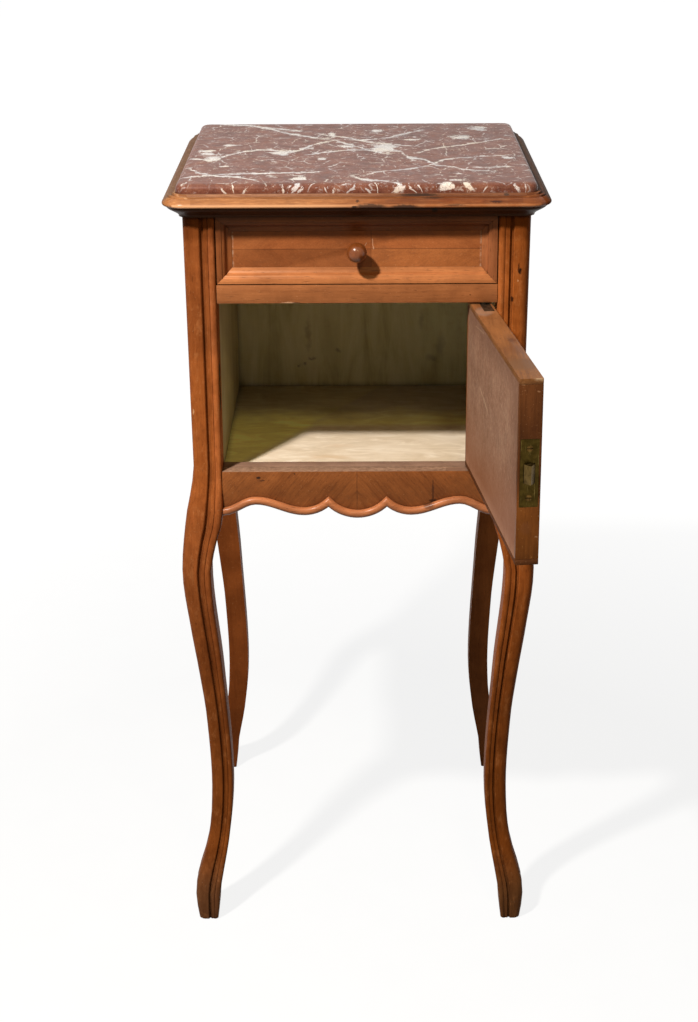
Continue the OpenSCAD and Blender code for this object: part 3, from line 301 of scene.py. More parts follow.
def painted_pine(name, along, shift, tone, worn, marks=(), swirl=0.6, strong=1.0, run=130,
                 lines=0.3, extra=None):
    """Pine boards under a thin green-yellow stain, with streaks and knots. worn is the colour of
    the pale streaks, strong how much darker the dark ones are, run the streaks' length, and lines
    the share of fine ones."""
    net = material_net(name)
    where = net.place()
    lined = net.mapped(where, turn=GRAIN_TURN[along], move=(shift, 2 * shift, shift))
    broad = net.noise(lined, (1 / 22, 1 / 22, 1 / run), 4, 0.6, swirl)
    fibre = net.noise(lined, (1 / 1.8, 1 / 1.8, 1 / 70), 4, 0.6, 0.2)
    mid = colour(*tone)
    dark = scaled(mid, [1 - part * strong for part in (0.34, 0.38, 0.5)])
    base = net.ramp(net.mixture(broad, fibre, lines),
                    [(0.36, dark), (0.5, mid), (0.66, colour(*worn))])
    blotch = net.fit(net.noise(where, 1 / 55, 4, 0.6, 0.4), 0.42, 0.62, 0.0, 0.35)
    base = net.blend(blotch, base, colour(*worn))
    base = marked(net, where, base, marks, 0.12, 10, 0.8)
    if extra:
        base = extra(net, where, base)
    # Darker near neighbouring surfaces: grime in grooves and painted shade in hollows.
    base = add_grime_and_shade(net, base, (40, 30, 14), 9, 0.55)[0]
    return net.finish(base, net.fit(fibre, 0.3, 0.7, 0.55, 0.75), fibre, 0.15)


def plain_wood(name, along, shift, tone):
    """Unfinished beech with fine darker flecks."""
    net = material_net(name)
    broad, fibre, pores = grain(net, net.place(), along, shift)
    mid = colour(*tone)
    level = net.fit(net.mixture(broad, fibre, 0.5), 0.35, 0.65)
    base = net.blend(level, scaled(mid, (0.75, 0.68, 0.6)), mid)
    base = net.blend(net.times(pores, 0.4), base, colour(120, 78, 44))
    # Darker near neighbouring surfaces: grime in grooves and painted shade in hollows.
    base = add_grime_and_shade(net, base, (52, 34, 18), 7, 0.5)[0]
    return net.finish(base, net.fit(fibre, 0.3, 0.7, 0.5, 0.7), fibre, 0.12)


# ---- Metal ----

def brass(name, tone, tarnish, rough=0.38):
    """Old brass, cloudy with tarnish and finely scratched."""
    net = material_net(name)
    where = net.place()
    cloud = net.noise(where, 1 / 7, 5, 0.65, 0.5)
    scratch = net.noise(where, (1 / 0.5, 1 / 0.5, 1 / 14), 3, 0.6)
    base = net.blend(net.fit(cloud, 0.35, 0.65, smooth=True), colour(*tone), colour(*tarnish))
    base = net.blend(net.fit(scratch, 0.62, 0.75, 0, 0.35), base, colour(226, 196, 120))
    # Darker near neighbouring surfaces: grime in grooves and painted shade in hollows.
    base = add_grime_and_shade(net, base, (28, 20, 8), 2, 0.8)[0]
    shine = net.plus(net.times(cloud, 0.3), rough - 0.15)
    return net.finish(base, shine, scratch, 0.03, Metallic=1.0)


def steel():
    """Spring steel with brownish clouds."""
    net = material_net("spring_steel")
    cloud = net.noise(net.place(), 1 / 5, 4, 0.6)
    base = net.blend(net.fit(cloud, 0.4, 0.65), colour(128, 126, 122), colour(84, 70, 58))
    return net.finish(base, net.fit(cloud, 0.3, 0.7, 0.3, 0.5), cloud, 0.02, Metallic=1.0)


# ---- Marble ----

# The main veins: (x, y) points from left to right, width, and roughly the cosine of the slope.
VEINS = [
    ([(-178, -157), (-150, -144), (-117, -136), (-79, -133), (-38, -126)], 1.6, 1.0),
    ([(-173, -107), (-164, -128), (-146, -144), (-116, -159), (-103, -169)], 1.3, 0.7),
    ([(-175, -54), (-154, -52), (-131, -22), (-105, 0), (-72, -8), (-51, 22), (-38, 45), (-24, 61)],
     1.8, 0.75),
    ([(-24, 58), (-1, 21), (20, -11), (45, -11), (57, -49), (73, -64), (83, -86)], 1.6, 0.6),
    ([(-53, -31), (-23, -10), (1, 0), (20, 4)], 2.0, 1.0),
    ([(9, -146), (29, -126), (56, -113), (80, -86), (100, -57), (138, -44), (165, -37)], 1.1, 0.8),
    ([(80, -90), (95, -100), (117, -121), (140, -129)], 1.1, 0.8),
    ([(-4, -152), (11, -172), (29, -179), (45, -192)], 1.7, 0.75),
    ([(69, -20), (83, 3), (115, 25), (144, 48), (162, 64)], 1.1, 0.75),
    ([(-157, 169), (-127, 161), (-97, 138), (-65, 125)], 2.4, 0.9),
    ([(-100, 138), (-76, 103), (-52, 81), (-30, 69)], 1.6, 0.7),
    ([(30, 67), (50, 91), (76, 124)], 1.6, 0.65),
    ([(-7, 60), (18, 63), (38, 75)], 2.0, 1.0),
    ([(-45, 100), (-10, 74), (20, 40), (60, 22)], 1.5, 0.8),
    ([(123, -108), (160, -102)], 1.5, 1.0),
]

# White blots on the top: centre x and y, half width and half depth.
BLOTS = [
    (-154, -51, 10, 17), (-162, -20, 8, 10), (-83, -19, 11, 13), (31, 10, 15, 34),
    (-27, 94, 5, 20), (24, 117, 8, 10), (119, 76, 12, 14), (140, 131, 11, 14),
    (160, -52, 6, 10), (-36, -54, 5, 9), (-162, -6, 9, 6), (-138, -94, 6, 5),
    (99, -174, 9, 6), (104, -141, 6, 5), (-60, -160, 8, 12), (-140, 30, 9, 7),
    (60, 60, 10, 5), (-10, 20, 12, 6),
]

# White marks on the front edge: centre x, half width, depth below the top, and how strong.
EDGE_MARKS = [
    (-140, 2.8, 8, 0.34), (-125, 1.2, 5, 0.42), (-107, 2.6, 8, 0.36), (-74, 2.8, 6, 0.36),
    (-66, 1.6, 5, 0.3), (-58, 4, 3, 0.42), (-52, 2, 6, 0.3), (-35, 1.2, 7, 0.32),
    (-22, 2.6, 8, 0.32), (-2, 1, 5, 0.36), (6, 2.4, 8, 0.34), (19, 1.2, 5, 0.38),
    (45, 3.6, 5, 0.46), (52, 1, 5, 0.32), (60, 0.9, 6, 0.32), (91, 7, 2, 0.46),
    (110, 5, 3, 0.44), (133, 2, 6, 0.28), (157, 3.4, 5, 0.3), (169, 1.2, 5, 0.36),
]


def vein(net, x, y, breadth, shreds, points, width, cos_slope):
    """Mask of one vein: a core along its points, and shreds of white beside it."""
    x0, x1 = points[0][0], points[-1][0]
    depths = [point_y for _, point_y in points]
    y0, tall = min(depths), max(max(depths) - min(depths), 1)
    route = net.node("ShaderNodeFloatCurve", {1: net.fit(x, x0, x1)})
    dots = route.mapping.curves[0].points
    while len(dots) < len(points):
        dots.new(0.5, 0.5)
    for dot, (point_x, point_y) in zip(dots, points):
        dot.location = ((point_x - x0) / (x1 - x0), (point_y - y0) / tall)
    route.mapping.update()
    line = net.math("MULTIPLY_ADD", route.outputs[0], tall, y0)
    off = net.times(net.unsigned(net.minus(y, line)), cos_slope)
    core = net.fit(net.minus(off, net.times(breadth, 0.7 * width)), -0.4, 0.6, 1, 0, smooth=True)
    near = net.fit(off, 0, 6.5 * width, 0.235, 0)
    shred = net.fit(net.plus(shreds, near), 0.685, 0.72, smooth=True)
    ends = net.times(net.fit(x, x0 - 4, x0 + 2), net.fit(x, x1 - 2, x1 + 4, 1, 0))
    return net.times(net.largest(core, shred), ends)


def edge_white(net, x, y, z):
    """Mask of the marks that run down over the rounded front edge, leaning a little."""
    front, top = marble_low.y, marble_high.z
    lean = net.times(net.math("SINE", net.times(x, 0.13)), 0.9)
    slanted = net.join(net.math("MULTIPLY_ADD", net.minus(z, top), lean, x), y, z)
    ragged = net.shaken(net.shaken(slanted, 1 / 9, 5), 1 / 2.5, 2.5)
    near = net.largest(*(
        net.fit(net.reach(ragged, (mark_x, front + 1, top - low), (half, 9, 6)), 0.3, 1.4, much, 0)
        for mark_x, half, low, much in EDGE_MARKS))
    chips = net.noise(ragged, (1 / 2.4, 1 / 5, 1 / 4), 4, 0.7)
    return net.fit(net.plus(chips, near), 0.70, 0.77, smooth=True)


def stray_white(net, where, bent, torn, shreds):
    """Mask of the fine threads and flecks all over."""
    cells = net.node("ShaderNodeTexVoronoi", {"Vector": net.mapped(bent, (1, 0.62, 1)),
                                              "Scale": 1 / 24}, feature="DISTANCE_TO_EDGE")
    thread = net.fit(cells.outputs[0], 0.008, 0.035, 1, 0, smooth=True)
    thread = net.times(thread, net.fit(net.noise(where, 1 / 17, 3, 0.6), 0.5, 0.58))
    fleck = net.fit(net.noise(torn, (1 / 5, 1 / 7, 1 / 5), 4, 0.7), 0.6, 0.65)
    fleck = net.times(fleck, net.fit(net.noise(where, 1 / 40, 2), 0.38, 0.5, 0.3, 1))
    return net.largest(thread, fleck, net.fit(shreds, 0.63, 0.67, smooth=True))


def marble_white(net, where, bent, flat):
    """Mask of all the white in the marble. bent is a place with bends, and flat is 1 on the level
    top."""
    x, y, z = net.split(where)
    torn = net.shaken(net.shaken(where, 1 / 16, 18), 1 / 4, 7)
    # Streaky noise that breaks the white up into shreds along the veins.
    shreds = net.noise(net.mapped(torn, (1 / 15, 1 / 6.5, 1 / 6.5), turn=(0, 0, 0.35)), 1, 5, 0.72)
    breadth = net.fit(net.noise(where, 1 / 9, 3, 0.6), 0.3, 0.7, 0.1, 1.9)
    bent_x, bent_y = net.split(bent)[:2]
    veins = [vein(net, bent_x, bent_y, breadth, shreds, *row) for row in VEINS]
    near = net.largest(*(
        net.fit(net.reach(torn, (blot_x, blot_y, marble_high.z), (half_x, half_y, 30)),
                0.2, 1.5, 0.36, 0)
        for blot_x, blot_y, half_x, half_y in BLOTS))
    blots = net.fit(net.plus(shreds, near), 0.66, 0.70, smooth=True)
    stray = net.times(stray_white(net, where, bent, torn, shreds), net.fit(flat, 0, 1, 0.45, 0.8))
    white = net.largest(*veins, blots, edge_white(net, x, y, z), stray)
    broken = net.fit(net.noise(where, 1 / 1.3, 3, 0.75), 0.34, 0.5, 0.3, 1.0)
    return net.times(white, broken)


def marble():
    """Red marble with white veins. Its level top has gone dull."""
    net = material_net("red_marble")
    where = net.place()
    top = marble_high.z
    flat = net.fit(net.split(where)[2], top - 3, top - 0.4, smooth=True)
    edge = net.minus(1.0, flat)
    bent = net.shaken(where, 1 / 16, 10)
    cloud = net.noise(bent, 1 / 20, 5, 0.7)
    base = net.ramp(net.mixture(cloud, net.noise(where, 1 / 1.6, 4, 0.75), 0.45), [
        (0.36, colour(76, 37, 25)), (0.5, colour(109, 58, 41)), (0.64, colour(134, 82, 59))])
    base = net.tint(edge, base, 1.08, 1.2, 1.28)
    base = net.blend(net.times(flat, 0.08), base, colour(190, 176, 166))
    pale = net.ramp(net.noise(where, 1 / 30, 3, 0.6), [
        (0.36, colour(198, 194, 194)), (0.5, colour(230, 225, 221)), (0.66, colour(234, 224, 208))])
    pale = net.blend(edge, pale, colour(240, 228, 222), "MULTIPLY")
    base = net.blend(marble_white(net, where, bent, flat), base, pale)
    # Darker near neighbouring surfaces: grime in grooves and painted shade in hollows.
    base = add_grime_and_shade(net, base, (50, 24, 18), 4, 0.6)[0]
    shine = net.fit(net.noise(where, 1 / 12, 4, 0.6), 0.3, 0.7, 0.26, 0.42)
    shine = net.plus(shine, net.times(flat, 0.12))
    return net.finish(base, shine, net.noise(where, 1 / 3, 3), 0.03, Specular_IOR_Level=0.15)


# ---- Smooth curves and soft edges on the frame's own pieces, by modifiers ----

JOIN_WITHIN = 1e-6  # metres
SMOOTH_ANGLE = 32  # degrees: a sharper edge stays an edge
FLAT_ANGLE = 0.6  # degrees: faces that meet flatter are one face
BEVEL_ANGLE = 38  # degrees: a sharper edge is rounded


def geometry_group(name, build):
    group = bpy.data.node_groups.new(name, "GeometryNodeTree")
    group.interface.new_socket("Geometry", in_out="INPUT", socket_type="NodeSocketGeometry")
    group.interface.new_socket("Geometry", in_out="OUTPUT", socket_type="NodeSocketGeometry")
    start = group.nodes.new("NodeGroupInput")
    end = group.nodes.new("NodeGroupOutput")
    group.links.new(build(group, start.outputs[0]), end.inputs[0])
    return group


def weld_steps(group, flow):
    """Drops the imported normals and joins the points that lie on each other."""
    drop = group.nodes.new("GeometryNodeRemoveAttribute")
    drop.inputs["Name"].default_value = "custom_normal"
    group.links.new(flow, drop.inputs[0])
    merge = group.nodes.new("GeometryNodeMergeByDistance")
    merge.inputs["Distance"].default_value = JOIN_WITHIN
    group.links.new(drop.outputs[0], merge.inputs["Geometry"])
    return merge.outputs[0]


def smooth_steps(group, flow):
    """Shades all faces smooth, and keeps the edges that are sharper than SMOOTH_ANGLE."""
    all_smooth = group.nodes.new("GeometryNodeSetShadeSmooth")
    all_smooth.inputs["Shade Smooth"].default_value = True
    group.links.new(flow, all_smooth.inputs["Geometry"])
    bend = group.nodes.new("GeometryNodeInputMeshEdgeAngle")
    sharp = group.nodes.new("FunctionNodeCompare")
    sharp.operation = "GREATER_THAN"
    sharp.inputs[1].default_value = math.radians(SMOOTH_ANGLE)
    group.links.new(bend.outputs[0], sharp.inputs[0])
    edges = group.nodes.new("GeometryNodeSetShadeSmooth")
    edges.domain = "EDGE"
    edges.inputs["Shade Smooth"].default_value = False
    group.links.new(all_smooth.outputs[0], edges.inputs["Geometry"])
    group.links.new(sharp.outputs[0], edges.inputs["Selection"])
    return edges.outputs[0]


WELD = geometry_group("join_points", weld_steps)
SMOOTH = geometry_group("smooth_by_angle", smooth_steps)


def soften(obj, edge):
    """Rounds the piece's sharp edges by so many millimetres and smooths its curves."""
    obj.modifiers.new("join", "NODES").node_group = WELD
    if edge:
        flat = obj.modifiers.new("flat", "DECIMATE")
        flat.decimate_type = "DISSOLVE"
        flat.angle_limit = math.radians(FLAT_ANGLE)
        bevel = obj.modifiers.new("edge", "BEVEL")
        bevel.width = edge / 1000
        bevel.segments = 2
        bevel.limit_method = "ANGLE"
        bevel.angle_limit = math.radians(BEVEL_ANGLE)
        bevel.use_clamp_overlap = False
    obj.modifiers.new("smooth", "NODES").node_group = SMOOTH


def dress(names, material, edge):
    """Gives the named pieces their material, and their sharp edges a rounding of edge mm."""
    for name in names.split():
        obj = NODES[name]
        obj.data.materials.clear()
        obj.data.materials.append(material)
        soften(obj, edge)


def on_front(y, deep, rows):
    """Marks on a front face, from rows of x, z, half width, half height, colour, how much."""
    return [((x, y, z), (wide, deep, high), shade, much)
            for x, z, wide, high, shade, much in rows]


# ---- The top ----

TOP_TONE = (172, 112, 66)

# Stains on the front's roll. The second number of a centre counts back from the roll's front.
nose_marks = [((x, nose_low.y + back, z), size, shade, much) for (x, back, z), size, shade, much in (
    ((14, 1, 833.5), (15, 5, 2.6), (34, 16, 10), 0.85),
    ((48, 1, 833), (13, 5, 2.4), (30, 14, 10), 0.85),
    ((62, 10, 843), (19, 2.6, 1.6), (52, 32, 24), 0.95),
    ((77, 7, 840.4), (11, 1.4, 1.4), (60, 36, 24), 0.85),
    ((98, 1, 834.6), (12, 3, 0.8), (70, 40, 26), 0.7),
    ((139, 2, 837.6), (6, 3, 1.3), (56, 22, 10), 0.95),
    ((150, 10, 843), (2.6, 2, 1.5), (60, 50, 44), 0.8),
    ((1, 3, 838.6), (2.2, 3, 1), (40, 20, 14), 0.8),
    ((-2, 1, 833), (3, 4, 1.5), (26, 14, 10), 0.9))]


def rim_lines(net, where, base):
    """Wear and painted light that follow the roll round its corners: a dull band, a pale line that is
    partly dust and partly a painted highlight on the roll's top arris, and dust beside the marble."""
    x, y, z = net.split(where)
    side = net.largest(net.minus(net.unsigned(x), nose_high.x - TOP_CORNER), 0.0)
    ahead = net.largest(net.minus(nose_low.y + TOP_CORNER, y), 0.0)
    inward = net.minus(TOP_CORNER, net.length(net.join(side, ahead, 0.0)))
    uneven = net.fit(net.noise(where, 1 / 14, 4, 0.65), 0.35, 0.6, 0.5, 1)
    corner = net.times(net.fit(y, nose_low.y + TOP_CORNER, nose_low.y + 8, 0, 1, smooth=True),
                       net.fit(side, 0.0, 1.0))
    base = net.blend(corner, base, colour(*TOP_TONE))
    dull = net.fit(inward, 6.3, 6.8)
    base = net.blend(net.times(dull, 0.7), base, colour(140, 94, 62))
    # Pale line on the roll's top arris: partly dust, partly painted highlight.
    line = net.times(net.fit(inward, 5.2, 5.6), net.fit(inward, 6.0, 6.4, 1, 0))
    base = net.blend(net.times(line, net.times(uneven, 0.6)), base, colour(226, 176, 132))
    dust = net.times(net.fit(inward, 9.4, 9.8), uneven)
    base = net.blend(net.times(dust, 0.9), base, colour(172, 126, 100))
    # Uneven polish, a painted highlight low on the roll's front, and a right-hand half that has
    # darkened.
    streaks = net.noise(where, (1 / 18, 1 / 3, 1 / 2.2), 5, 0.75)
    base = net.blend(net.fit(streaks, 0.42, 0.62, 0, 0.55), base, colour(124, 72, 38))
    base = net.blend(net.fit(streaks, 0.44, 0.3, 0, 0.35), base, colour(220, 160, 108))
    painted_roll_highlight = net.times(net.fit(z, 836.0, 834.2), net.fit(ahead, TOP_CORNER - 4, TOP_CORNER - 3))
    base = net.blend(net.times(painted_roll_highlight, 0.85), base, colour(252, 186, 134))
    cloud = net.fit(net.noise(where, 1 / 24, 4, 0.6), 0.35, 0.65, 0.75, 1)
    dim = net.times(net.fit(x, -70, 80, 0, 1, smooth=True), cloud)
    dim = net.times(dim, net.fit(inward, 9.2, 9.8, 1, 0.7))
    return net.tint(dim, base, 0.45, 0.24, 0.09)


dress("marble_top", marble(), 0)
dress("top_frame_front",
      walnut("walnut_top_front", TOP_TONE, "x", 11, coat=0.25, rough=0.34, grime_and_shade=0.5,
             marks=nose_marks, extra=rim_lines), 0)
dress("top_frame_back", walnut("walnut_top_back", TOP_TONE, "x", 23, grime_and_shade=0.5), 0)
for side, tone, shift, gloss in (("left", (117, 93, 74), 37, 0.05),
                                 ("right", (86, 84, 80), 39, 0.06)):
    dress("top_frame_" + side,
          walnut("walnut_top_" + side, tone, "y", shift, gloss=gloss, rough=0.6, grime_and_shade=0.6,
                 extra=rim_lines), 0)
# The front under moulding's very dark tone is painted shade under the top's overhang.
dress("under_moulding_front",
      walnut("walnut_under_front", (66, 34, 13), "x", 41, gloss=0.1,
             marks=[((78, nose_low.y + 8, 828), (3, 12, 3.0), (6, 4, 3), 1.0)]), 0)
dress("under_moulding_left under_moulding_right",
      walnut("walnut_under_side", (84, 44, 22), "y", 43), 0)


# ---- Legs, sides and rails ----

post_marks = on_front(POST_Y, 5, [
    (166.3, 762, 1.8, 3.5, (30, 14, 8), 0.95),
    (165, 766, 1.0, 5, (44, 20, 10), 0.8),
    (159, 732, 1.6, 2.5, (34, 16, 9), 0.9),
]) + on_front(POST_Y, 4, [
    (164.5, 752, 0.8, 1.2, (220, 170, 120), 0.7),
    (-172, 612, 0.8, 3, (224, 170, 120), 0.6),
    (-176, 690, 0.7, 2, (214, 160, 110), 0.5),
])


def painted_cornice_shadow(net, where, base):
    """Painted shadow: the strip right under the top is darker, where the top's overhang shades it."""
    shaded = net.fit(net.split(where)[2], 790, 800, 0, 1, smooth=True)
    return net.tint(shaded, base, 0.66, 0.62, 0.55)


def leg_tones(low_shade):
    """Painted highlights on the beads, a brighter lower post, a darker lower leg, feet tinted pale and
    blue as a painted reflection, and the painted shadow under the top.
    """
    def paint(net, where, base):
        x, _, z = net.split(where)
        post = net.fit(z, 480, 560, 0, 1, smooth=True)
        # Painted highlight along the beads of the posts.
        bead = net.times(net.fit(net.unsigned(x), BEAD_EDGE - 1, BEAD_EDGE + 1, 1, 0),
                         net.fit(net.noise(where, 1 / 12, 3, 0.6), 0.35, 0.6, 0.5, 1))
        base = net.tint(net.times(bead, post), base, 1.3, 1.4, 1.7)
        lower_post = net.times(post, net.fit(z, 720, 620, 0, 1, smooth=True))
        base = net.tint(lower_post, base, 1.28, 1.28, 1.15)
        base = net.tint(net.fit(z, 470, 150, 0, 1, smooth=True), base, *low_shade)
        # Painted reflection: the feet paler and bluer.
        foot = net.fit(z, 90, 30, 0, 1, smooth=True)
        base = net.tint(foot, base, 0.95, 1.4, 2.9)
        mottle = net.noise(where, (1 / 7, 1 / 7, 1 / 16), 5, 0.72)
        base = net.tint(net.fit(mottle, 0.48, 0.66, 0, 0.4, smooth=True), base, 0.62, 0.55, 0.5)
        worn = net.fit(mottle, 0.46, 0.32, 0, 0.2, smooth=True)
        # Painted shadow under the top.
        return painted_cornice_shadow(net, where, net.blend(worn, base, colour(214, 140, 84)))
    return paint


for side, shift, front, rear, low_shade in (
        ("left", 3, (155, 84, 40), (131, 68, 29), (0.74, 0.72, 0.55)),
        ("right", 7, (161, 86, 36), (176, 106, 62), (0.56, 0.55, 0.45))):
    dress("leg_front_" + side,
          walnut("walnut_leg_front_" + side, front, "z", shift, contrast=0.9, gloss=0.05,
                 rough=0.5, marks=post_marks, extra=leg_tones(low_shade)), 0)
    dress("leg_rear_" + side,
          walnut("walnut_leg_rear_" + side, rear, "z", shift + 50, contrast=0.6, gloss=0.05,
                 rough=0.5), 0)
dress("side_panel_left side_panel_right", walnut("walnut_side", (160, 92, 50), "z", 61), 0.4)
dress("drawer_rail", walnut("walnut_rail", (162, 98, 56), "x", 71, contrast=0.9,
                            marks=on_front(RAIL_Y, 3, [
                                (-63, 729.3, 5, 1.0, (40, 24, 14), 0.7),
                                (-71, 729.5, 6, 0.8, (228, 180, 140), 0.6),
                                (116, 737, 0.8, 0.8, (50, 26, 14), 0.7)])), 0.6)
dress("top_rail", walnut("walnut_top_rail", (120, 66, 34), "x", 73), 0.4)


# ---- Veneer, on the drawer and the apron ----

def chevron(net, where, middle_x, middle_z, lean):
    """Place folded about an upright line and, with a middle_z, about a level one, and turned to
    the slant of the veneer."""
    x, y, z = net.split(where)
    across = net.unsigned(net.minus(x, middle_x))
    up = z if middle_z is None else net.unsigned(net.minus(z, middle_z))
    return net.mapped(net.join(across, y, up), turn=(0, math.radians(lean), 0))


def veneer_lines(middle_x, middle_z):
    """Darker seams where the veneers meet, and a painted sheen across them: the upper half darker."""
    def paint(net, where, base):
        x, _, z = net.split(where)
        wobble = net.math("MULTIPLY_ADD", net.noise(where, 1 / 18, 2), 1.2, -0.6)
        across = net.unsigned(net.plus(net.minus(x, middle_x), wobble))
        seam = net.fit(across, 0.15, 0.7, 0.55, 0, smooth=True)
        if middle_z is not None:
            up = net.minus(z, middle_z)
            # Painted sheen: the upper half of the veneer darker than the lower.
            upper = net.times(net.fit(up, -0.5, 0.5), 0.22)
            base = net.blend(upper, base, colour(176, 120, 84), "MULTIPLY")
            seam = net.largest(seam, net.fit(net.unsigned(up), 0.15, 0.8, 0.6, 0, smooth=True))
        return net.blend(seam, base, colour(70, 36, 20))
    return paint


def veneered(name, tone, middle_x, middle_z, lean, shift, contrast, paint, marks=()):
    """Walnut laid in chevrons that slant by lean degrees."""
    def folded(net, where):
        return net.mapped(chevron(net, where, middle_x, middle_z, lean), (1.5, 1.5, 3.5))
    return walnut(name, tone, "z", shift, folded, contrast, marks=marks, extra=paint)


def dusty_top(net, where, base):
    """The apron's seam, and the sill's dusty colour on the level top behind the front arris."""
    base = veneer_lines(APRON_SEAM, None)(net, where, base)
    _, y, z = net.split(where)
    level = net.times(net.fit(z, apron_high.z - 0.7, apron_high.z - 0.3),
                      net.fit(y, apron_low.y + 0.8, apron_low.y + 1.8))
    fine = net.fit(net.noise(where, 1 / 4, 5, 0.7), 0.3, 0.7)
    return net.blend(level, base, net.blend(fine, colour(120, 86, 66), colour(178, 140, 114)))


# Scratches by the drawer's knob: start and end as (x, z), and width.
DRAWER_SCRATCHES = [
    ((16.1, 794), (16.4, 787), 0.5),
    ((17, 786), (17.2, 784), 0.7),
    ((10, 790), (8.5, 787.5), 0.4),
]


def drawer_paint(net, where, base):
    """Seams, quarters of the veneer in different tones with painted sheen between upper and lower
    halves, patches that have faded, the painted shadow under the top, dust along the panel's ends and
    scratches by the knob.
    """
    base = veneer_lines(DRAWER_SEAM, panel_mid_z)(net, where, base)
    x, _, z = net.split(where)
    # The veneer's quarters differ in tone; the difference between upper and lower halves is painted
    # sheen.
    right = net.fit(x, DRAWER_SEAM - 0.6, DRAWER_SEAM + 0.6)
    lower = net.fit(z, panel_mid_z - 0.4, panel_mid_z + 0.4, 1, 0)
    base = net.tint(net.times(net.minus(1.0, right), lower), base, 0.78, 0.74, 0.70)
    base = net.tint(net.times(right, lower), base, 1.15, 1.18, 1.14)
    base = net.tint(net.fit(lower, 0, 1, 1, 0), base, 1.2, 1.22, 1.22)
    faded = net.fit(net.noise(where, (1 / 60, 1, 1 / 30), 4, 0.6, 0.4), 0.4, 0.62)
    base = net.blend(net.times(faded, 0.25), base, colour(196, 118, 66))
    fine = net.noise(where, 1 / 1.1, 3, 0.7)
    base = net.blend(net.fit(fine, 0.4, 0.6, 0.22, 0), base, colour(96, 48, 24))
    smoke = net.noise(where, (1 / 34, 1, 1 / 11), 5, 0.66, 0.5)
    base = net.blend(net.fit(smoke, 0.5, 0.68, 0, 0.5, smooth=True), base, colour(122, 68, 36))
    # Painted shadow under the top.
    base = painted_cornice_shadow(net, where, base)
    ends = net.fit(net.unsigned(x), PANEL_END - 2, PANEL_END)
    dust = net.times(ends, net.fit(net.noise(where, 1 / 6, 4, 0.7), 0.4, 0.6, 0, 0.6))
    base = net.blend(dust, base, colour(214, 176, 146))
    face = panel_low.y
    for (start_x, start_z), (end_x, end_z), width in DRAWER_SCRATCHES:
        scratch = net.stroke(where, (start_x, face, start_z), (end_x, face, end_z), width)
        base = net.blend(net.times(scratch, 0.3), base, colour(240, 196, 160))
    return base


dress("drawer_front", veneered("veneer_drawer", (162, 93, 50), DRAWER_SEAM, panel_mid_z, 55, 81,
                               0.55, drawer_paint), 0.2)
for side, along, shift, tone in (("bottom", "x", 116, (186, 114, 66)),
                                 ("top", "x", 113, (150, 86, 46)),
                                 ("left", "z", 114, (148, 84, 44)),
                                 ("right", "z", 115, (156, 92, 54))):
    # The mouldings get the painted shadow under the top.
    dress("drawer_moulding_" + side,
          walnut("walnut_drawer_" + side, tone, along, shift, grime_and_shade=0.75, extra=painted_cornice_shadow), 0.3)
dress("drawer_knob door_knob",
      walnut("walnut_knob", (130, 68, 28), "y", 131, coat=0.5, rough=0.3, contrast=0.8), 0)

dress("front_apron", veneered("veneer_apron", (146, 84, 42), APRON_SEAM, None, 40, 91, 1.2,
                              dusty_top, on_front(RAIL_Y, 3, [
                                  (-105.5, 538.5, 2.2, 1.6, (30, 16, 12), 0.95),
                                  (-101.5, 535.5, 3.0, 0.8, (60, 32, 20), 0.8),
                                  (-67, 543, 1.0, 0.8, (30, 18, 12), 0.9),
                                  (80, 522, 1.0, 14, (56, 28, 16), 0.7),
                                  (80.5, 512, 4.5, 2.0, (40, 22, 14), 0.85)])), 0.4)
dress("apron_bead", walnut("walnut_apron_bead", (188, 114, 70), "x", 97, coat=0.15, grime_and_shade=0.6,
                           marks=on_front(RAIL_Y, 6, [(76, 507, 6, 4, (70, 36, 22), 0.7)])), 0)
dress("sill_strip",
      walnut("walnut_sill", (153, 118, 97), "x", 101, contrast=0.5, rough=0.6, grime_and_shade=0.4), 0.3)


# ---- Inside ----

def bare_outside(net, where, base):
    """The back panel's stain is only on its inside."""
    y = net.split(where)[1]
    return net.blend(net.fit(y, inner_back + 0.6, inner_back + 1.4), base, colour(176, 142, 100))


def floor_painted_shade(net, where, base):
    """Painted shade on the floor: green-yellow behind the slanting edge of the lamp's shadow and
    towards the back, and darker towards the back.
    """
    x, y, _ = net.split(where)
    # Millimetres behind the slanting line of the lamp's shadow edge, where the painted shade starts.
    past_shadow_edge = net.minus(y, net.math("MULTIPLY_ADD", x, 1.76, 62))
    green = net.largest(net.fit(past_shadow_edge, -2, 36, 0, 1, smooth=True),
                        net.fit(y, -22, 0, 0, 0.7, smooth=True))
    base = net.tint(green, base, 1.36, 1.52, 0.84)
    # Painted shade: darker towards the back.
    wavy = net.math("MULTIPLY_ADD", net.noise(where, 1 / 40, 4, 0.6), 60, -30)
    back = net.fit(net.plus(y, wavy), -20, 70, 0, 1, smooth=True)
    return net.tint(back, base, 0.55, 0.53, 0.9)


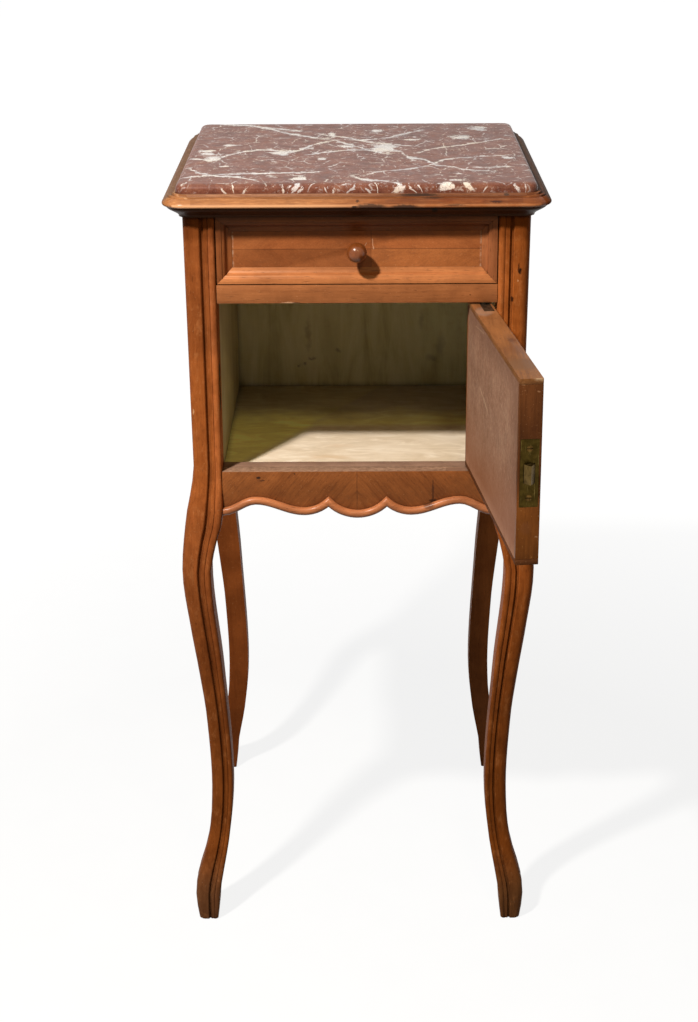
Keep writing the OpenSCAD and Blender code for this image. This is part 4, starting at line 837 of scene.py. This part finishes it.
dress("back_panel", painted_pine(
    "pine_back", "z", 5, (212, 208, 162), (230, 226, 190), on_front(BACK_Y, 3, [
        (-59, 604, 3, 18, (120, 104, 62), 0.45),
        (-64, 568, 2.2, 2.4, (50, 38, 22), 0.55),
        (-69.6, 566, 1.6, 1.6, (60, 44, 24), 0.5),
        (-24, 585, 3, 2, (80, 64, 36), 0.5),
        (-55, 575, 4, 1.2, (70, 54, 30), 0.5),
        (91, 574, 5, 4, (96, 80, 46), 0.4),
        (78, 622, 3, 10, (104, 88, 50), 0.35),
        (101, 590, 4, 14, (96, 80, 46), 0.4),
        (120, 640, 46, 60, (236, 240, 204), 0.5)]),
    strong=0.8, lines=0.12, extra=bare_outside), 0)
dress("lining_left lining_right",
      painted_pine("pine_lining", "z", 15, (178, 166, 122), (194, 184, 148), strong=0.5), 0)
dress("floor_board", painted_pine(
    "pine_floor", "x", 25, (214, 192, 164), (232, 214, 190), [
        ((-83, 1, FLOOR_Z), (12, 7, 4), (252, 240, 214), 0.6),
        ((-60, -12, FLOOR_Z), (16, 5, 4), (252, 240, 214), 0.5),
        ((-20, -84, FLOOR_Z), (14, 5, 4), (214, 184, 150), 0.4),
        ((-30, -122, FLOOR_Z), (18, 6, 4), (206, 170, 130), 0.4),
        # This last mark is a patch of painted shade at the back middle.
        ((-23, 45, FLOOR_Z), (22, 14, 4), (150, 126, 84), 0.5)],
    swirl=2.0, strong=0.28, run=60, lines=0.12, extra=floor_painted_shade), 0.4)
dress("dust_board", painted_pine("pine_dust", "x", 35, (170, 150, 104), (190, 170, 126)), 0)

for names, name, along, shift, tone, edge in (
        ("back_rail_upper back_rail_lower", "beech_back_rails", "x", 2, (196, 158, 112), 0.5),
        ("kicker_left kicker_right floor_bearer_left floor_bearer_right", "beech_strips",
         "y", 4, (192, 152, 106), 0.5),
        ("drawer_stops door_stop", "beech_blocks", "x", 6, (190, 150, 104), 0.5),
        ("drawer_side_left drawer_side_right drawer_bottom", "beech_drawer_sides",
         "y", 8, (206, 172, 126), 0.4),
        ("drawer_back", "beech_drawer_back", "x", 10, (204, 170, 124), 0.4)):
    dress(names, plain_wood(name, along, shift, tone), edge)


# ---- The door ----

# Scratches on the door's inner face: start, end, width, and how much they show.
DOOR_SCRATCHES = [
    ((123.8, -247, 657), (128.3, -289, 647), 1.4, 0.28),
    ((120.5, -217, 713), (125.6, -263, 718), 0.8, 0.18),
    ((126.4, -271, 654), (129, -295, 644), 0.9, 0.2),
    ((136, -360, 676), (139, -392, 668), 0.8, 0.25),
]


def door_wear(net, where, base):
    """The door's inner face: cloudy colour, dark and pale margins and long pale scratches. Its
    outer face is polished like the drawer's."""
    x, y, z = net.split(where)
    polished = net.tint(1.0, base, 1.06, 0.58, 0.27)
    # The open door's faces slant in x, so the depth into it follows that slant.
    slant = math.tan(math.radians(door_past_square))
    depth = net.math("MULTIPLY_ADD", y, slant, net.minus(x, door_low.x))
    outer = net.fit(depth, slant * door_high.y + 5, slant * door_high.y + 8)
    cloud = net.noise(where, 1 / 16, 6, 0.72, 0.6)
    base = net.blend(net.fit(cloud, 0.38, 0.64, 0, 0.5), base, colour(132, 88, 66))
    fine = net.noise(where, (1 / 2.2, 1 / 2.4, 1 / 5), 5, 0.75)
    base = net.blend(net.fit(fine, 0.52, 0.66, 0, 0.6), base, colour(194, 154, 126))
    base = net.blend(net.fit(fine, 0.47, 0.34, 0, 0.55), base, colour(104, 72, 50))
    upper = net.fit(z, 690, door_high.z, 0, 0.45, smooth=True)
    free = net.fit(y, door_low.y + 60, door_low.y + 2, 0, 0.5, smooth=True)
    base = net.blend(net.largest(upper, free), base, colour(104, 70, 54))
    base = net.blend(net.fit(z, 650, 550, 0, 0.7, smooth=True), base, colour(140, 84, 50))
    low_strip = net.times(net.fit(z, 566, 552), net.fit(cloud, 0.4, 0.5, 0.3, 0.8))
    base = net.blend(low_strip, base, colour(170, 120, 90))
    by_hinge = net.times(net.fit(y, -162, -151), net.fit(cloud, 0.4, 0.55, 0.1, 0.7))
    base = net.blend(by_hinge, base, colour(200, 170, 140))
    ragged = net.shaken(where, 1 / 2, 2)
    for start, end, width, much in DOOR_SCRATCHES:
        scratch = net.times(net.stroke(ragged, start, end, width), much)
        base = net.blend(scratch, base, colour(226, 192, 158))
    return net.blend(outer, base, polished)


def top_lip_tone(net, where, base):
    """Darker towards the free corner."""
    end = net.fit(net.split(where)[1], -290, -420, 0, 1, smooth=True)
    return net.tint(end, base, 0.66, 0.66, 0.6)


def free_lip_tone(net, where, base):
    """Lighter below the latch than above it."""
    low = net.fit(net.split(where)[2], 640, 590, 0, 1, smooth=True)
    return net.tint(low, base, 1.95, 1.9, 1.3)


dress("door_core", walnut("walnut_door", (158, 120, 96), "z", 141, contrast=0.35, rough=0.62,
                          grime_and_shade=0.4, extra=door_wear), 0)
dress("door_lipping_top", walnut(
    "walnut_lip_top", (150, 96, 56), "y", 143, contrast=1.2, extra=top_lip_tone, marks=[
        ((151, -403, LIP_TOP_Z), (16, 18, 5), (104, 68, 40), 0.75),
        ((128, -214, LIP_TOP_Z), (8, 16, 5), (150, 130, 118), 0.5),
        ((148.7, -320, LIP_TOP_Z), (4, 6, 4), (90, 50, 28), 0.6),
        ((130, -214, LIP_TOP_Z), (10, 10, 5), (178, 124, 84), 0.5),
        ((140, -285, LIP_TOP_Z), (9, 22, 5), (170, 108, 60), 0.3),
        ((146, -352, LIP_TOP_Z), (10, 14, 5), (110, 66, 38), 0.45),
        ((165, -449, LIP_TOP_Z), (6, 3, 3), (226, 190, 150), 0.5)]), 0.4)
dress("door_lipping_bottom",
      walnut("walnut_lip_bottom", (104, 62, 36), "y", 147, gloss=0.03, rough=0.6), 0.4)
dress("door_lipping_free", walnut(
    "walnut_lip_free", (91, 51, 25), "z", 149, contrast=1.3, gloss=0.1, extra=free_lip_tone, marks=[
        ((150, LIP_FREE_Y, 722), (3, 3, 0.6), (190, 140, 100), 0.4),
        ((163.6, LIP_FREE_Y + 1, 715), (1.4, 3, 0.8), (190, 140, 100), 0.4),
        ((165, LIP_FREE_Y + 1, 574), (1.2, 3, 0.8), (210, 160, 120), 0.4),
        ((155, LIP_FREE_Y, 583), (5, 3, 6), (130, 78, 44), 0.5)]), 0.4)
dress("door_lipping_hinge", walnut("walnut_lip_hinge", (140, 80, 44), "z", 151), 0.4)
dress("door_mouldings", walnut("walnut_door_mouldings", (180, 108, 60), "z", 153), 0.3)


# ---- Latch and hinges ----

dress("latch_case strike_plate", brass("brass_old", (70, 55, 21), (52, 40, 13)), 0.2)
dress("latch_bolt", brass("brass_bolt", (98, 78, 42), (72, 56, 28), 0.36), 0.15)
dress("latch_screws strike_screws", brass("brass_screws", (110, 80, 38), (70, 50, 22)), 0.1)
dress("pivot_plate_upper hinge_leaf_upper hinge_leaf_lower",
      brass("brass_hinges", (110, 96, 76), (62, 52, 42), 0.5), 0.15)
# The lower plate has nearly the sill's colour: dust and old polish cover its brass.
dress("pivot_plate_lower", walnut("brass_under_dust", (142, 106, 84), "x", 161, contrast=0.5,
                                  rough=0.65, grime_and_shade=0.3), 0)
dress("latch_spring", steel(), 0)


# ---- Floor and world ----

def seen_directly(net):
    """1 where the camera sees the surface, by itself or in something shiny or clear."""
    path = net.node("ShaderNodeLightPath").outputs
    return net.largest(path["Is Camera Ray"], path["Is Glossy Ray"], path["Is Transmission Ray"])


def floor_material():
    """A matt floor that looks near white, less so close by, where the shadows have to show."""
    net = material_net("pale_floor")
    where = net.place()
    speckle = net.noise(where, 1 / 60, 3)
    matt = net.node("ShaderNodeBsdfDiffuse",
                    {"Color": net.blend(speckle, (0.13, 0.127, 0.122, 1), (0.15, 0.147, 0.142, 1))})
    brightness = net.fit(net.length(where), 500, 1600, 0.87, 1.0)
    glow = net.node("ShaderNodeEmission", {"Color": (1, 1, 1, 1), "Strength": brightness})
    both = net.node("ShaderNodeAddShader", {0: matt.outputs[0], 1: glow.outputs[0]})
    mixed = net.node("ShaderNodeMixShader",
                     {0: seen_directly(net), 1: matt.outputs[0], 2: both.outputs[0]})
    return net.output("ShaderNodeOutputMaterial", mixed.outputs[0])


def make_floor(half):
    """A square floor, with half its side in metres."""
    mesh = bpy.data.meshes.new("floor")
    mesh.from_pydata([(-half, -half, 0), (half, -half, 0), (half, half, 0), (-half, half, 0)],
                     [], [(0, 1, 2, 3)])
    floor = bpy.data.objects.new("floor", mesh)
    SCENE.collection.objects.link(floor)
    mesh.materials.append(floor_material())


def make_world(ambient, strength):
    """White where it is seen, and a weak ambient light on everything else."""
    net = Net(bpy.data.worlds.new("studio"))
    lit = net.node("ShaderNodeBackground", {"Color": ambient, "Strength": strength})
    white = net.node("ShaderNodeBackground", {"Color": (1, 1, 1, 1)})
    mixed = net.node("ShaderNodeMixShader",
                     {0: seen_directly(net), 1: lit.outputs[0], 2: white.outputs[0]})
    SCENE.world = net.output("ShaderNodeOutputWorld", mixed.outputs[0])


# ---- Lamps and camera ----

LAMPS_AIM = (0, 0, 0.55)

# The camera stands where the photograph was taken from: metres, and angles in radians.
CAMERA_PLACE = (-0.0002, -2.1006, 1.2281)
CAMERA_YAW, CAMERA_PITCH, CAMERA_ROLL = -0.0048, -0.3627, -0.0058
CAMERA_LENS, CAMERA_SENSOR = 67.57, 36  # mm, the sensor by its height


def lamp(name, place, size, power, tint):
    """A round lamp aimed at the cupboard's middle: size in metres and power in watts."""
    data = bpy.data.lights.new(name, "AREA")
    data.shape = "DISK"
    data.size = size
    data.energy = power
    data.color = tint
    obj = bpy.data.objects.new(name, data)
    SCENE.collection.objects.link(obj)
    obj.location = place
    obj.rotation_mode = "QUATERNION"
    obj.rotation_quaternion = (Vector(LAMPS_AIM) - Vector(place)).to_track_quat("-Z", "Y")


def make_camera():
    cos_yaw, sin_yaw = math.cos(CAMERA_YAW), math.sin(CAMERA_YAW)
    cos_pitch, sin_pitch = math.cos(CAMERA_PITCH), math.sin(CAMERA_PITCH)
    ahead = Vector((sin_yaw * cos_pitch, cos_yaw * cos_pitch, sin_pitch))
    right = Vector((cos_yaw, -sin_yaw, 0))
    up = right.cross(ahead)
    across = right * math.cos(CAMERA_ROLL) + up * math.sin(CAMERA_ROLL)
    above = up * math.cos(CAMERA_ROLL) - right * math.sin(CAMERA_ROLL)
    data = bpy.data.cameras.new("camera")
    data.lens = CAMERA_LENS
    data.sensor_fit = "VERTICAL"
    data.sensor_height = CAMERA_SENSOR
    data.clip_start = 0.05
    data.clip_end = 100
    camera = bpy.data.objects.new("camera", data)
    SCENE.collection.objects.link(camera)
    turn = Matrix((across, above, -ahead)).transposed().to_4x4()
    camera.matrix_world = Matrix.Translation(CAMERA_PLACE) @ turn
    SCENE.camera = camera


make_floor(half=14.0)
make_world(ambient=(1.0, 0.88, 0.68, 1), strength=0.055)
lamp("key", place=(-0.92, -1.44, 2.386), size=0.17, power=76, tint=(1.0, 0.985, 0.96))
lamp("fill", place=(0.30, -1.62, 1.85), size=0.30, power=4.5, tint=(1.0, 0.86, 0.45))
make_camera()

SCENE.view_settings.view_transform = "Standard"
